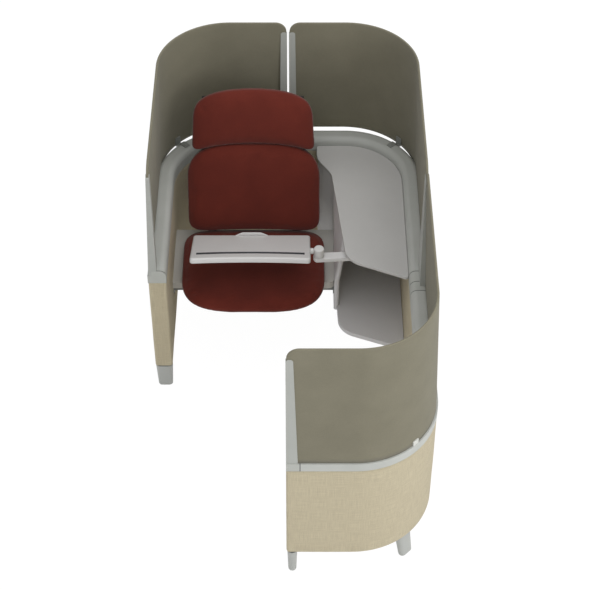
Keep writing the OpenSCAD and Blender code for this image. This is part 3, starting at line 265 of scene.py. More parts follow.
def grain_group():
    """Height: rounded pebbles from Voronoi cells, roughened by noise."""
    tree, given, out = new_group(
        "pebble_grain", [("Vector", "v", None), ("Scale", "f", 900.0)], [("Height", "f")])
    cells = wire(tree, "ShaderNodeTexVoronoi",
                 {"Vector": given.outputs[0], "Scale": given.outputs[1]}, feature="SMOOTH_F1")
    rough = noise(tree, given.outputs[0], given.outputs[1], 2.0)
    height = maths(tree, "MULTIPLY_ADD", rough, 0.4, cells.outputs["Distance"])
    tree.links.new(height, out.inputs["Height"])
    return tree


def handling_group():
    """Mask: large soft clouds crossed by a few fine scuffs, from 0 to 1."""
    tree, given, out = new_group(
        "handling_marks", [("Vector", "v", None)], [("Mask", "f")])
    cloud = noise(tree, given.outputs[0], 5.0, 5.0, 0.62)
    scuff = noise(tree, stretch(tree, given.outputs[0], (9.0, 60.0, 24.0)), 2.0, 5.0, 0.7)
    thin = maths(tree, "GREATER_THAN", scuff, 0.68)
    tree.links.new(maths(tree, "MULTIPLY_ADD", thin, 0.35, cloud), out.inputs["Mask"])
    return tree


# Where rail mouldings meet, the shade in the hairline seam is painted as a dark line.
JOINT_PLANES = ((1, 0.009), (1, -0.049), (1, -0.0995), (0, 0.047))    # axis and metres
JOINT_DARK, JOINT_GONE = 0.0012, 0.0024    # distances from a plane, in metres
EXTENSION_ONLY = -0.5    # a plane across X marks only the rail in front of this Y


def joint_shade_group():
    """Mask of painted seam shade: 1 within JOINT_DARK of the planes where rail mouldings meet, 0
    past JOINT_GONE.
    """
    tree, given, out = new_group("rail_joint_shade", [("Vector", "v", None)], [("Mask", "f")])
    parts = wire(tree, "ShaderNodeSeparateXYZ", {0: given.outputs[0]})
    lines = None
    for axis, at in JOINT_PLANES:
        away = maths(tree, "ABSOLUTE", maths(tree, "SUBTRACT", parts.outputs[axis], at))
        line = wire(tree, "ShaderNodeMapRange",
                    {0: away, 1: JOINT_DARK, 2: JOINT_GONE, 3: 1.0, 4: 0.0}).outputs[0]
        if axis == 0:
            in_front = maths(tree, "LESS_THAN", parts.outputs[1], EXTENSION_ONLY)
            line = maths(tree, "MULTIPLY", line, in_front)
        lines = line if lines is None else maths(tree, "MAXIMUM", lines, line)
    tree.links.new(lines, out.inputs["Mask"])
    return tree


fibres, grain, handling = fibre_group(), grain_group(), handling_group()
joint_shade = joint_shade_group()
print("groups:", [g.name for g in bpy.data.node_groups])

# %% [markdown]
# ## Finishes
# Colours are written as they look on a screen, 0 to 255, and turned into linear light here.

# %% Colour and material helpers
def paint(r, g, b):
    """A screen colour as linear light with full alpha."""
    c = np.array([r, g, b]) / 255.0
    linear = np.where(c <= 0.04045, c / 12.92, ((c + 0.055) / 1.055) ** 2.4)
    return (*map(float, linear), 1.0)


def new_finish(name):
    """A material with a Principled shader; returns it, its tree and the shader."""
    material = bpy.data.materials.new(name)
    material.use_nodes = True
    tree = material.node_tree
    return material, tree, tree.nodes["Principled BSDF"]


def position(tree, uv=False):
    """Where on the piece a point lies: its cloth map, or its place in the drawing."""
    if uv:
        return wire(tree, "ShaderNodeUVMap", uv_map="cloth").outputs[0]
    return tree.nodes.new("ShaderNodeTexCoord").outputs["Object"]


def bump(tree, shader, height, distance):
    """Joins a height, whose full value stands out by distance in metres, to the normal."""
    node = wire(tree, "ShaderNodeBump", {"Height": height, "Distance": distance, "Strength": 1.0})
    tree.links.new(node.outputs[0], shader.inputs["Normal"])


def use(tree, group, **values):
    """Places a shared group and joins or sets its inputs by name."""
    named = {key.replace("_", " "): value for key, value in values.items()}
    return wire(tree, "ShaderNodeGroup", named, node_tree=group).outputs


print("finish helpers are ready")

# %% [markdown]
# ### Moulded and painted surfaces
# Rails, posts, legs, tray and table are all pale grey, but not the same grey. One recipe makes
# them: a base colour, a paler worn colour in handled patches, and a fine grain in the bump.

# %% Hard finishes
# The colour of the painted shade in the seams between rail mouldings.
JOINT_SHADE_COLOUR = (52, 53, 51)


def hard_finish(name, colour, worn, rough, grain_scale, grain_depth, metal=0.0, shaded_joints=False):
    """Grain as bump, handling marks in colour and roughness, painted seam shade at rail joints.
    """
    material, tree, shader = new_finish(name)
    place = position(tree)
    marks = use(tree, handling, Vector=place)["Mask"]
    spread = wire(tree, "ShaderNodeMapRange", {0: marks, 1: 0.35, 2: 0.85}).outputs[0]
    shown = blend_colour(tree, spread, paint(*colour), paint(*worn))
    # Painted seam shade: the colour darkens near the planes where rail mouldings meet.
    if shaded_joints:
        dark = maths(tree, "MULTIPLY", use(tree, joint_shade, Vector=place)["Mask"], 0.8)
        shown = blend_colour(tree, dark, shown, paint(*JOINT_SHADE_COLOUR))
    tree.links.new(shown, shader.inputs["Base Color"])
    tree.links.new(maths(tree, "MULTIPLY_ADD", spread, -0.12, rough), shader.inputs["Roughness"])
    shader.inputs["Metallic"].default_value = metal
    pebbles = use(tree, grain, Vector=place, Scale=grain_scale)["Height"]
    bump(tree, shader, pebbles, grain_depth)
    return material


# Material name, colour, worn colour, roughness, grains per metre, their height in metres, and
# for some a share of metal and whether painted seam shade marks the rail joints that cross it.
hard_rows = {
    "rail_grey": ("rail_moulding", (178, 180, 175), (186, 188, 184), 0.55, 700, 0.00012, 0, True),
    "cap_grey": ("cap_moulding", (174, 176, 170), (182, 184, 179), 0.58, 650, 0.00014, 0, True),
    "post_grey": ("post_moulding", (165, 167, 162), (173, 175, 170), 0.5, 700, 0.0001),
    "bracket_grey": ("bracket_coat", (136, 138, 133), (150, 152, 147), 0.5, 900, 0.0001),
    "clip_pale": ("clip_coat", (196, 197, 190), (206, 207, 201), 0.5, 900, 0.0001),
    "screw_steel": ("zinc_screw", (150, 152, 148), (168, 170, 166), 0.45, 1500, 0.00004, 0.2),
    "leg_grey": ("leg_coat", (168, 170, 166), (176, 178, 174), 0.45, 800, 0.00008),
    "plate_steel": ("plate_coat", (96, 98, 95), (116, 118, 115), 0.5, 900, 0.0001),
    "glide_black": ("glide_rubber", (48, 48, 47), (64, 64, 62), 0.75, 1200, 0.00008),
    "table_grey": ("table_laminate", (190, 189, 187), (196, 195, 193), 0.5, 500, 0.00006),
    # The nook's laminate is painted paler than the table's, as painted light for the shade under
    # the table.
    "nook_grey": ("nook_laminate_painted_paler", (210, 209, 210), (216, 215, 216), 0.55, 500, 0.00008),
    "frame_steel": ("beam_coat", (112, 114, 111), (128, 130, 127), 0.5, 900, 0.0001),
    "platform_grey": ("platform_moulding", (188, 186, 180), (195, 193, 188), 0.55, 600, 0.00012),
    "shell_dark": ("shell_moulding", (48, 46, 45), (58, 56, 54), 0.55, 600, 0.00016),
    "pin_steel": ("ground_steel", (184, 186, 185), (205, 205, 205), 0.4, 1800, 0.00003, 0.5),
    "tray_grey": ("tray_moulding", (206, 205, 204), (214, 213, 212), 0.42, 700, 0.00008),
    "slot_dark": ("grip_lining", (70, 70, 74), (84, 84, 88), 0.8, 900, 0.0002),
    "core_board": ("core_board", (184, 155, 114), (196, 170, 130), 0.8, 300, 0.0003),
}
hard = {slot_name: hard_finish(*row) for slot_name, row in hard_rows.items()}
print("hard finishes:", len(hard))

# %% [markdown]
# ### Cloths
# The low wall wears a coarse tan weave whose uneven yarns show as fine crossed streaks. The
# screens are olive grey felt. The cushions are a dense dark red wool with a soft sheen.

# %% Cloth finishes
def soft_shader(shader, roughness, sheen, gloss):
    """How dull a cloth is, how much its edges shine, and how much it reflects."""
    shader.inputs["Roughness"].default_value = roughness
    shader.inputs["Sheen Weight"].default_value = sheen
    shader.inputs["Specular IOR Level"].default_value = gloss


def tan_cloth(name):
    """Weave of 1.6 mm threads; streaks mix a paler and a darker yarn."""
    material, tree, shader = new_finish(name)
    woven = use(tree, plain_weave, Vector=position(tree, uv=True), Threads_per_m=620.0, Slub=0.6)
    tone = wire(tree, "ShaderNodeMapRange", {0: woven["Streaks"], 1: 0.1, 2: 0.9}).outputs[0]
    colour = blend_colour(tree, tone, paint(198, 186, 157), paint(216, 205, 176))
    gap = maths(tree, "MULTIPLY_ADD", woven["Height"], 0.35, 0.7)
    shade = wire(tree, "ShaderNodeCombineColor", {0: gap, 1: gap, 2: gap}).outputs[0]
    shaded = blend_colour(tree, 0.35, colour, shade, "MULTIPLY")
    tree.links.new(shaded, shader.inputs["Base Color"])
    soft_shader(shader, 0.92, 0.12, 0.2)
    bump(tree, shader, woven["Height"], 0.0006)
    return material


def fibre_cloth(name, scale, dark, pale, height):
    """Crossed fibres over slow clouds of tone between two colours, with a shallow bump."""
    material, tree, shader = new_finish(name)
    fibre = use(tree, fibres, Vector=position(tree), Scale=scale)
    tone = wire(tree, "ShaderNodeMapRange", {0: fibre["Tone"], 1: 0.3, 2: 0.75}).outputs[0]
    colour = blend_colour(tree, tone, paint(*dark), paint(*pale))
    tree.links.new(colour, shader.inputs["Base Color"])
    bump(tree, shader, fibre["Height"], height)
    return material, shader


def felt_cloth(name):
    """Olive grey felt."""
    material, shader = fibre_cloth(name, 420.0, (116, 112, 96), (130, 126, 109), 0.0004)
    soft_shader(shader, 0.95, 0.1, 0.15)
    return material


def red_wool(name):
    """Deep red wool whose nap shines a little at the edges."""
    material, shader = fibre_cloth(name, 520.0, (86, 31, 23), (110, 43, 32), 0.0005)
    soft_shader(shader, 0.9, 0.25, 0.2)
    shader.inputs["Sheen Roughness"].default_value = 0.45
    return material


wall_cloth_finish = tan_cloth("tan_weave")
screen_felt = felt_cloth("screen_felt")
cushion_wool = red_wool("red_wool")
print("cloths:", wall_cloth_finish.name, screen_felt.name, cushion_wool.name)

# %% Dress the drawn pieces
finish_of = {**hard, "tan_cloth": wall_cloth_finish, "screen_felt": screen_felt,
             "red_cloth": cushion_wool}
for node, obj in frame["nodes"].items():
    obj.data.materials.clear()
    obj.data.materials.append(finish_of[slot_of[node]])
frame["nodes"]["tilt_pin"].data.materials[0] = hard["tray_grey"]
print("dressed", len(frame["nodes"]), "nodes")

# %% [markdown]
# ## Padded cushions
# Seat, back and headrest are three foam pads in one red wool. Each starts as a plan outline
# with rounder or squarer corners, carried over a crown. A cloth simulation then blows the
# cover up a little, as foam does, so that the sides pull in between the corners. Only after
# that is the seam pressed in, because the simulation would smooth it away.

# %% Cushion shape
RINGS, RING_POINTS = 28, 120
SIDE_POWER, TOP_POWER, UNDER_POWER = 2.6, 2.7, 5.0    # 2 is round, more is squarer
CROWN_FALL = 0.16    # how far the top falls from its middle to its edge, as a share
DRAWN_IN = 0.012     # how far the sides draw in at the middle of each end, as a share


def cushion_grid(width, depth, thick, low_p, high_p, bow, flare):
    """Rings r(a)*cos(b)^(2/SIDE_POWER) at height thick/2*(1 +- |sin b|^(2/power)).
    b runs from +90 to -90 degrees. r(a) is a superellipse, with one power for the near half
    and one for the far half."""
    b = np.radians(90.0 - 180.0 * np.arange(1, RINGS) / RINGS)[:, None]
    a = (2.0 * np.pi * np.arange(RING_POINTS) / RING_POINTS)[None, :]
    power = np.where(np.sin(a) < 0, low_p, high_p)
    part_x = (np.abs(np.cos(a)) / (width / 2)) ** power
    part_y = (np.abs(np.sin(a)) / (depth / 2)) ** power
    edge = (part_x + part_y) ** (-1 / power)
    spread = np.cos(b) ** (2 / SIDE_POWER)
    lift = np.sign(b) * np.abs(np.sin(b)) ** (2 / np.where(b > 0, TOP_POWER, UNDER_POWER))
    fall = np.where(b > 0, CROWN_FALL * spread ** 2, 0.0)
    radius = edge * spread * (1 - DRAWN_IN * np.cos(a) ** 4)
    y = radius * np.sin(a)
    x = radius * np.cos(a) * (1 - flare * (0.5 + y / depth))
    z = thick / 2 * (1 + lift * (1 - fall)) + 0 * x
    return np.stack([x, y - bow * ((2 * x / width) ** 2 - 0.3), z], -1)


print("cushion rings:", RINGS - 1, "points in each:", RING_POINTS)

# %% [markdown]
# The cloth runs for twenty frames with pressure inside and no gravity. How far a point may
# move is capped, and the result is fitted back to the drawn width, depth and thickness.

# %% Swelling
CLOTH_FRAMES = 20
PRESSURE = 4.0
SKIN_VOXEL = 0.0065    # metres between the points of the cloth


def points_of(items, attribute="co"):
    """Where a mesh's vertices, or the centres of its faces, lie, as rows."""
    flat = np.empty(len(items) * 3, np.float32)
    items.foreach_get(attribute, flat)
    return flat.reshape(-1, 3).astype(float)


def baked(obj):
    """A new mesh with the object's modifiers applied."""
    held = obj.evaluated_get(bpy.context.evaluated_depsgraph_get())
    return bpy.data.meshes.new_from_object(held)


def swell(obj, cap):
    """Cloth under pressure; a point that moved by d is taken back to cap*tanh(d/cap)."""
    remesh = obj.modifiers.new("skin", "REMESH")
    remesh.mode, remesh.voxel_size, remesh.use_smooth_shade = "VOXEL", SKIN_VOXEL, True
    mesh = baked(obj)
    obj.modifiers.clear()
    obj.data = mesh
    start = points_of(mesh.vertices)
    cloth = obj.modifiers.new("swell", "CLOTH")
    cloth.settings.quality = 4
    cloth.settings.use_pressure = True
    cloth.settings.uniform_pressure_force = PRESSURE
    cloth.settings.effector_weights.gravity = 0.0
    cloth.point_cache.frame_start, cloth.point_cache.frame_end = 1, CLOTH_FRAMES
    for frame_number in range(1, CLOTH_FRAMES + 1):
        scene.frame_set(frame_number)
    moved = points_of(baked(obj).vertices)
    obj.modifiers.clear()
    scene.frame_set(1)
    step = moved - start
    step -= step.mean(0)
    size = np.linalg.norm(step, axis=1, keepdims=True) + TINY
    return start + step / size * cap * np.tanh(size / cap)


print("swelling is ready")

# %% [markdown]
# A seam runs round each cushion where the top panel meets the side band. It shows as a
# shallow valley. Its depth falls off as a bell curve on both sides of the line.

# %% Seam and place
SWELL_ROOM = 0.012    # the cloth starts smaller than the cushion by this much, in metres


def pressed_seam(points, width, depth, level, deep, wide):
    """Moves points near height level towards the middle by deep*exp(-((z-level)/wide)^2)."""
    out = np.stack([points[:, 0] / (width / 2), points[:, 1] / (depth / 2)], -1)
    far = np.clip((np.abs(out) ** 4).sum(1) ** 0.25 / 0.9, 0, 1) ** 12
    valley = deep * far * np.exp(-((points[:, 2] - level) / wide) ** 2)
    way = points[:, :2] / (np.linalg.norm(points[:, :2], axis=1, keepdims=True) + TINY)
    points = points.copy()
    points[:, :2] -= way * valley[:, None]
    points[:, 2] -= 0.35 * valley
    return points


def make_cushion(name, body, node, size, corners, bow, flare, place, cap, seam):
    """Shape, swell, fit to size, press the seam, and put every point in its place."""
    width, depth, thick = size
    small = [length - SWELL_ROOM for length in size]
    obj = plain_grid(name, cushion_grid(*small, *corners, bow, flare))
    points = swell(obj, cap)
    full = cushion_grid(*size, *corners, bow, flare).reshape(-1, 3)
    low, high = full.min(0), full.max(0)
    now_low, now_high = points.min(0), points.max(0)
    points = low + (points - now_low) / (now_high - now_low) * (high - low)
    points = pressed_seam(points, width, depth, seam[0] * thick, seam[1], seam[2])
    obj.data.vertices.foreach_set("co", place(points).astype(np.float32).ravel())
    obj.data.polygons.foreach_set("use_smooth", np.ones(len(obj.data.polygons), bool))
    obj.data.update()
    rounder = obj.modifiers.new("rounder", "SUBSURF")
    rounder.levels = rounder.render_levels = 1
    obj.data.materials.clear()
    dress(obj, body, node, "red_cloth")
    print(name, "points:", len(points), "size:", np.round(points.max(0) - points.min(0), 3))


RECLINE = math.radians(18.0)
SEAT_X = -0.144
BACK_FOOT = np.array([SEAT_X, 0.456, 0.4653])
BACK_L, HEAD_GAP = 0.392, 0.001


def on_seat(points):
    """The seat's own frame: middle of the underside at the middle of the platform's top."""
    return points + np.array([SEAT_X, 0.285, 0.3843])


def on_back(middle, thick):
    """Stands a flat pad up with its crown forward, moves it up the slope and leans it back."""
    def place(points):
        y, z = thick - points[:, 2], middle + points[:, 1]
        leaned = np.stack([points[:, 0], y * math.cos(RECLINE) + z * math.sin(RECLINE),
                           z * math.cos(RECLINE) - y * math.sin(RECLINE)], -1)
        return leaned + BACK_FOOT
    return place


# %% The three cushions
make_cushion("seat_pad", "frame", "seat_cushion", (0.602, 0.478, 0.074), (3.3, 6.0), 0.0, 0.0,
             on_seat, 0.007, (0.66, 0.0022, 0.0045))
make_cushion("back_pad", "frame", "back_cushion", (0.564, 0.392, 0.072), (8.0, 3.6), 0.014, 0.0,
             on_back(BACK_L / 2, 0.072), 0.007, (0.5, 0.002, 0.0045))
make_cushion("head_pad", "headrest", "headrest_cushion", (0.518, 0.242, 0.062), (12.0, 4.0),
             0.034, 0.05, on_back(BACK_L + HEAD_GAP + 0.112, 0.062), 0.004, (0.5, 0.002, 0.0045))
print("cushions are in place")

# %% [markdown]
# ## Pieces that follow the wall
# The wall runs straight along the side, round a quarter circle and straight along the back.
# A piece on it is one section carried along that line. The right rear quarter is worked out,
# and mirror images give the left one and the front one.

# %% The wall's line
def wall_line(side, back, radius, y_from, x_to, ends=0.05, step=0.014):
    """Points, outward directions and distances along side, quarter circle and back.
    Near both ends the points crowd together, as 1 - cos does."""
    straight_a, arc = back - radius - y_from, radius * math.pi / 2
    total = straight_a + arc + (side - radius - x_to)
    crowd = ends * (1 - np.cos(np.linspace(0, np.pi / 2, 15)))
    middle = np.linspace(ends, total - ends, int(total / step))
    s = np.concatenate([crowd[:-1], middle, (total - crowd)[::-1][1:]])
    turn = np.clip((s - straight_a) / radius, 0, math.pi / 2)
    past = np.clip(s - straight_a - arc, 0, None)
    before = np.clip(s, None, straight_a)
    out = np.stack([np.cos(turn), np.sin(turn)], -1)
    on_arc = np.array([side - radius, back - radius]) + radius * out
    line = on_arc + np.stack([-past, np.zeros_like(s)], -1)
    line[:, 1] -= straight_a - before
    return line, out, s


def turned_outward(obj):
    """Turns the faces round where the closed mesh came out inside out."""
    built = bmesh.new()
    built.from_mesh(obj.data)
    if built.calc_volume(signed=True) < 0:
        obj.data.flip_normals()
    built.free()
    return obj


def carried(name, node, slot_name, quarter, wall, q, z, across):
    """Section points (q outward, z up) at every point of the line, mirrored to the quarter."""
    line, out, s = wall
    xy = line[:, None, :] + out[:, None, :] * q[..., None]
    points = np.concatenate([xy, z[..., None]], -1) * np.array([*QUARTERS[quarter], 1])
    along = np.repeat(s[:, None], q.shape[1], 1)
    obj = turned_outward(grid_object(name, points, along, across))
    dress(obj, "frame", node, slot_name)
    return obj


QUARTERS = {"right": (1, 1), "left": (-1, 1), "front": (1, -1)}
print("wall quarters:", QUARTERS)

# %% [markdown]
# ### Upholstered wall
# The wall is a thick board wrapped in padding and the tan weave. The cloth is pulled round the
# lower edge and the ends, so these are round, and the flat faces stand out by about a
# millimetre between the edges.

# %% Wall cloths
def wall_section(q_in, q_out, z_low, z_high, r, step):
    """A rectangle with rounded lower corners as points (q, z) with the distance round it."""
    turns = np.radians(np.linspace(0, 90, 9))
    outer = np.stack([q_out - r + r * np.sin(turns), z_low + r - r * np.cos(turns)], -1)
    inner = np.stack([q_in + r - r * np.cos(turns), z_low + r - r * np.sin(turns)], -1)
    rise = np.linspace(z_low + r, z_high, int((z_high - z_low) / step))[1:, None]
    up = np.hstack([np.full_like(rise, q_out), rise])
    down = np.hstack([np.full_like(rise, q_in), rise])[::-1]
    loop = np.concatenate([outer, up, down, inner])
    gap = np.linalg.norm(np.roll(loop, -1, 0) - loop, axis=1)
    return loop, np.concatenate([[0], np.cumsum(gap)])


def wall_cloth(name, node, quarter, back, y_from, x_to):
    """The section shrinks over the last 9 mm at each end by 9 mm - sqrt(81 - (9 - d)^2)."""
    low, high, r = 0.129, 0.617, 0.009
    wall = wall_line(0.555, back, 0.311, y_from, x_to)
    s = wall[2]
    loop, round_ = wall_section(-0.0725, -0.0015, low, high, r, 0.02)
    near = np.minimum(s, s[-1] - s)
    inset = r - np.sqrt(np.clip(r * r - np.clip(r - near, 0, None) ** 2, 0, None))
    mid, half = -0.037, 0.0355
    side = (loop[:, 0] - mid) / half
    height = (loop[:, 1] - low) / (high - low)
    q = mid + side * (half - inset[:, None])
    puff = 0.0010 * np.sin(np.pi * np.clip(height, 0, 1)) * np.clip(near / 0.05, 0, 1)[:, None]
    wave = 0.0003 * np.sin(23 * s[:, None] + 5 * side) * np.sin(13 * height + 1.0)
    q = q + np.sign(side) * np.abs(side) ** 8 * (puff + wave * (puff > 0))
    z = loop[:, 1] + inset[:, None] * (1 - height)
    carried(name, node, "tan_cloth", quarter, wall, q, z, round_)


wall_cloth("cloth_right", "wall_cover_right", "right", 0.8965, 0.0052, 0.0)
wall_cloth("cloth_left", "wall_cover_left", "left", 0.8965, 0.0052, 0.0)
wall_cloth("cloth_front", "wall_cover_extension", "front", 0.949, -0.0048, -0.003)
print("wall cloths are on")

# %% [markdown]
# ### Screens
# Each screen is a thin felted panel that leans inward as it rises. Its top edge is rounded over
# and its upper corners are cut to a quarter circle.

# %% Screens
def screen_panel(name, node, quarter, side, back, radius, y_from, x_to):
    """Height at distance d from an end: top - (R - sqrt(R^2 - (R - d)^2)) while d < R."""
    low, top, lean, thick, corner = 0.655, 1.219, 0.0235, 0.009, 0.045
    rises, step = 24, 0.0235    # points up each face, and about how far apart they are
    wall = wall_line(side, back, radius, y_from, x_to)
    s = wall[2]
    near = np.clip(corner - np.minimum(s, s[-1] - s), 0, None)
    edge = top - (corner - np.sqrt(np.clip(corner ** 2 - near ** 2, 0, None)))
    over = thick / 2
    t = np.linspace(0, 1, rises)
    arc = np.radians(np.linspace(0, 180, 9))
    rise = low + (edge[:, None] - over - low) * t
    cap = edge[:, None] - over + over * np.sin(arc)
    z = np.concatenate([rise, cap[:, 1:-1], rise[:, ::-1]], 1)
    bend = -over + over * np.cos(arc[1:-1])
    flat = np.concatenate([np.zeros(rises), bend, np.full(rises, -thick)])
    q = flat - lean * (z - low) / (top - low)
    across = np.concatenate([[0], np.cumsum(np.full(z.shape[1], step))])
    carried(name, node, "screen_felt", quarter, wall, q, z, across)


screen_panel("felt_right", "screen_rear_right", "right", 0.549, 0.9465, 0.313, 0.0077, 0.0065)
screen_panel("felt_left", "screen_rear_left", "left", 0.549, 0.9465, 0.313, 0.0077, 0.0065)
screen_panel("felt_front", "screen_extension", "front", 0.549, 0.943, 0.305, -0.0023, -0.0005)
print("screens are up")

# %% [markdown]
# ## Slabs with soft edges
# The table and the arm are flat mouldings whose edges are rounded over. Each is a plan
# outline carried over an edge profile: in by a little, round, down, and round again.

# %% Plan outlines
def rounded(corner_points, radii, steps=8):
    """A polygon whose corners become arcs; a radius of 0 keeps the corner sharp."""
    made = []
    p = np.asarray(corner_points, float)
    for i, r in enumerate(radii):
        a, b = p[i - 1] - p[i], p[(i + 1) % len(p)] - p[i]
        a, b = a / np.linalg.norm(a), b / np.linalg.norm(b)
        if r <= 0:
            made.append(p[i][None])
            continue
        half = math.acos(float(a @ b)) / 2
        centre = p[i] + (a + b) / np.linalg.norm(a + b) * r / math.sin(half)
        back = r / math.tan(half)
        first, last = p[i] + a * back - centre, p[i] + b * back - centre
        t = np.linspace(0, 1, steps + 1)[:, None]
        wide = math.pi - 2 * half
        arc = (first * np.sin((1 - t) * wide) + last * np.sin(t * wide)) / math.sin(wide)
        made.append(centre + arc)
    return np.concatenate(made)


def evenly(outline, count):
    """The closed outline as count points at equal distances along it."""
    shut = np.vstack([outline, outline[:1]])
    far = np.concatenate([[0], np.cumsum(np.linalg.norm(np.diff(shut, axis=0), axis=1))])
    want = np.linspace(0, far[-1], count, endpoint=False)
    return np.stack([np.interp(want, far, shut[:, k]) for k in (0, 1)], -1)


def outward(outline):
    """The unit direction that points out of a closed outline at each of its points."""
    way = np.roll(outline, -1, 0) - np.roll(outline, 1, 0)
    way /= np.linalg.norm(way, axis=1, keepdims=True)
    after = np.roll(outline, -1, 0)
    area = np.sum(outline[:, 0] * after[:, 1] - after[:, 0] * outline[:, 1])
    return np.stack([way[:, 1], -way[:, 0]], -1) * np.sign(area)


print("outline helpers are ready")

# %% Soft slab
FLAT_RIM = 0.004    # metres of flat face kept inside the rounded edge


def edge_profile(low, high, r):
    """(inset, height) from the middle of the top over the rounded edge to the underside."""
    turns = np.radians(np.linspace(0, 90, 6))
    top = np.stack([r - r * np.sin(turns), high - r + r * np.cos(turns)], -1)
    under = np.stack([r - r * np.cos(turns), low + r - r * np.sin(turns)], -1)
    return np.vstack([[r + FLAT_RIM, high], top, under, [r + FLAT_RIM, low]])


def even_shading(obj):
    """Large flat faces keep their own normal, so that only the rounded edges look curved."""
    obj.data.set_sharp_from_angle(angle=math.radians(40))
    even = obj.modifiers.new("even_shading", "WEIGHTED_NORMAL")
    even.keep_sharp = True
    even.weight = 90


def stacked(name, xy, heights):
    """A closed mesh over outlines that lie one above another, each at its own height."""
    z = np.broadcast_to(heights[:, None, None], (*xy.shape[:2], 1))
    return turned_outward(plain_grid(name, np.concatenate([xy, z], -1)))


def soft_slab(name, outline, low, high, r, body, node, slot_name):
    """The outline moved in by each inset of the profile, at the profile's height."""
    profile, away = edge_profile(low, high, r), outward(outline)
    xy = outline[None] - away[None] * profile[:, 0][:, None, None]
    obj = stacked(name, xy, profile[:, 1])
    even_shading(obj)
    dress(obj, body, node, slot_name)
    return obj


print("profile points:", len(edge_profile(0.0, 0.014, 0.003)))

# %% [markdown]
# ### Side table
# The table's left edge slants away from the seat and swings behind it. Its rear corner follows
# the wall.

# %% Side table
TABLE_FRONT_X, TABLE_SWING_X, TABLE_SWING = 0.2358, 0.186, 0.064
TABLE_POINTS = 260


def table_plan():
    """Front edge, rounded nose, slanted edge, a half cosine swing, back edge and wall corner."""
    swing = np.linspace(0, 1, 15)[:, None]
    aside = TABLE_SWING * (1 - np.cos(np.pi * swing)) / 2
    left = np.hstack([TABLE_SWING_X - aside, 0.61 + 0.15 * swing])
    a, b, c = np.array([0.4805, 0.0052]), np.array([TABLE_FRONT_X, 0.112]), left[0]
    u, v = (a - b) / np.linalg.norm(a - b), (c - b) / np.linalg.norm(c - b)
    nose = rounded([b + u * 0.12, b, b + v * 0.12], [0, 0.1, 0], 12)
    corner = np.radians(np.linspace(0, 90, 19))[:, None]
    wall = np.hstack([0.244 + 0.2365 * np.sin(corner), 0.5855 + 0.2365 * np.cos(corner)])
    far = np.array([left[-1, 0], 0.822])
    front = rounded([wall[-1], a, b], [0, 0.01, 0])[1:-1]
    rear = rounded([left[-1], far, wall[0]], [0, 0.01, 0])[1:-1]
    loop = np.vstack([front, nose[1:-1], left, rear, wall])
    return evenly(loop, TABLE_POINTS)


soft_slab("table_board", table_plan(), 0.631, 0.645, 0.003, "frame", "side_table", "table_grey")
print("table board is on")

# %% [markdown]
# ### Work tray
# The tray is a thick moulding with a hollow far edge, a dark slot that holds the edge of a
# screen or a book, and a raised lip that stops things sliding onto the user.

# %% The tray's frame
TILT = math.radians(24.0)
TILT_AXIS = np.array([0.126, 0.165, 0.6417])
TRAY_X, TRAY_Y, TRAY_HALF = (-0.515, -0.035), (-0.124, 0.164), 0.012
TRAY_MIDDLE, TRAY_POINTS = sum(TRAY_X) / 2, 360
HOLLOW = 0.014    # how deep the far edge is hollowed, in metres


def on_tray(points):
    """From the tray's own frame, level, to its tilt at rest on the tilt axis."""
    y, z = points[..., 1], points[..., 2]
    tilted = np.stack([points[..., 0], y * math.cos(TILT) + z * math.sin(TILT),
                       z * math.cos(TILT) - y * math.sin(TILT)], -1)
    return tilted + TILT_AXIS


def far_edge(x):
    """The hollow of the far edge at x: HOLLOW in the middle, none at the ends, on one circle."""
    half = (TRAY_X[1] - TRAY_X[0]) / 2
    r = (half ** 2 + HOLLOW ** 2) / (2 * HOLLOW)
    return np.sqrt(np.clip(r * r - (x - TRAY_MIDDLE) ** 2, 0, None)) - (r - HOLLOW)


# %% Tray moulding
def tray_outline():
    """A rounded rectangle whose far edge is pushed in along a circle, in order of distance."""
    x0, x1, y0, y1 = *TRAY_X, *TRAY_Y
    corners = rounded([(x0, y0), (x1, y0), (x1, y1), (x0, y1)], [0.014] * 4, 10)
    box = evenly(corners, TRAY_POINTS)
    hollow = far_edge(box[:, 0]) * (box[:, 1] < 0)
    near = np.clip((0 - box[:, 1]) / -TRAY_Y[0], 0, 1)
    return box + np.stack([np.zeros(TRAY_POINTS), hollow * near], -1)


SLOT_LONG, SLOT_WIDE, SLOT_DEEP, SLOT_IN = 0.43, 0.023, 0.012, 0.044
SLOT_LINER = 0.0015    # the moulding's opening is larger by the lining all round
SLOT_BACK = 0.0012     # the slot lies this much nearer the far edge than its curve


def slot_outline(outer):
    """The slot, bent like the far edge; each of its points faces one of the tray's outline."""
    half_long, y0 = SLOT_LONG / 2 + SLOT_LINER, TRAY_Y[0] + SLOT_IN - SLOT_LINER
    x = TRAY_MIDDLE + np.clip((outer[:, 0] - TRAY_MIDDLE) / 0.232, -1, 1) * half_long
    up = np.clip((outer[:, 1] + 0.075) / 0.06, -1, 1)
    y = y0 + (SLOT_WIDE / 2 + SLOT_LINER) * (1 + up)
    return np.stack([x, y + far_edge(x) - SLOT_BACK], -1)


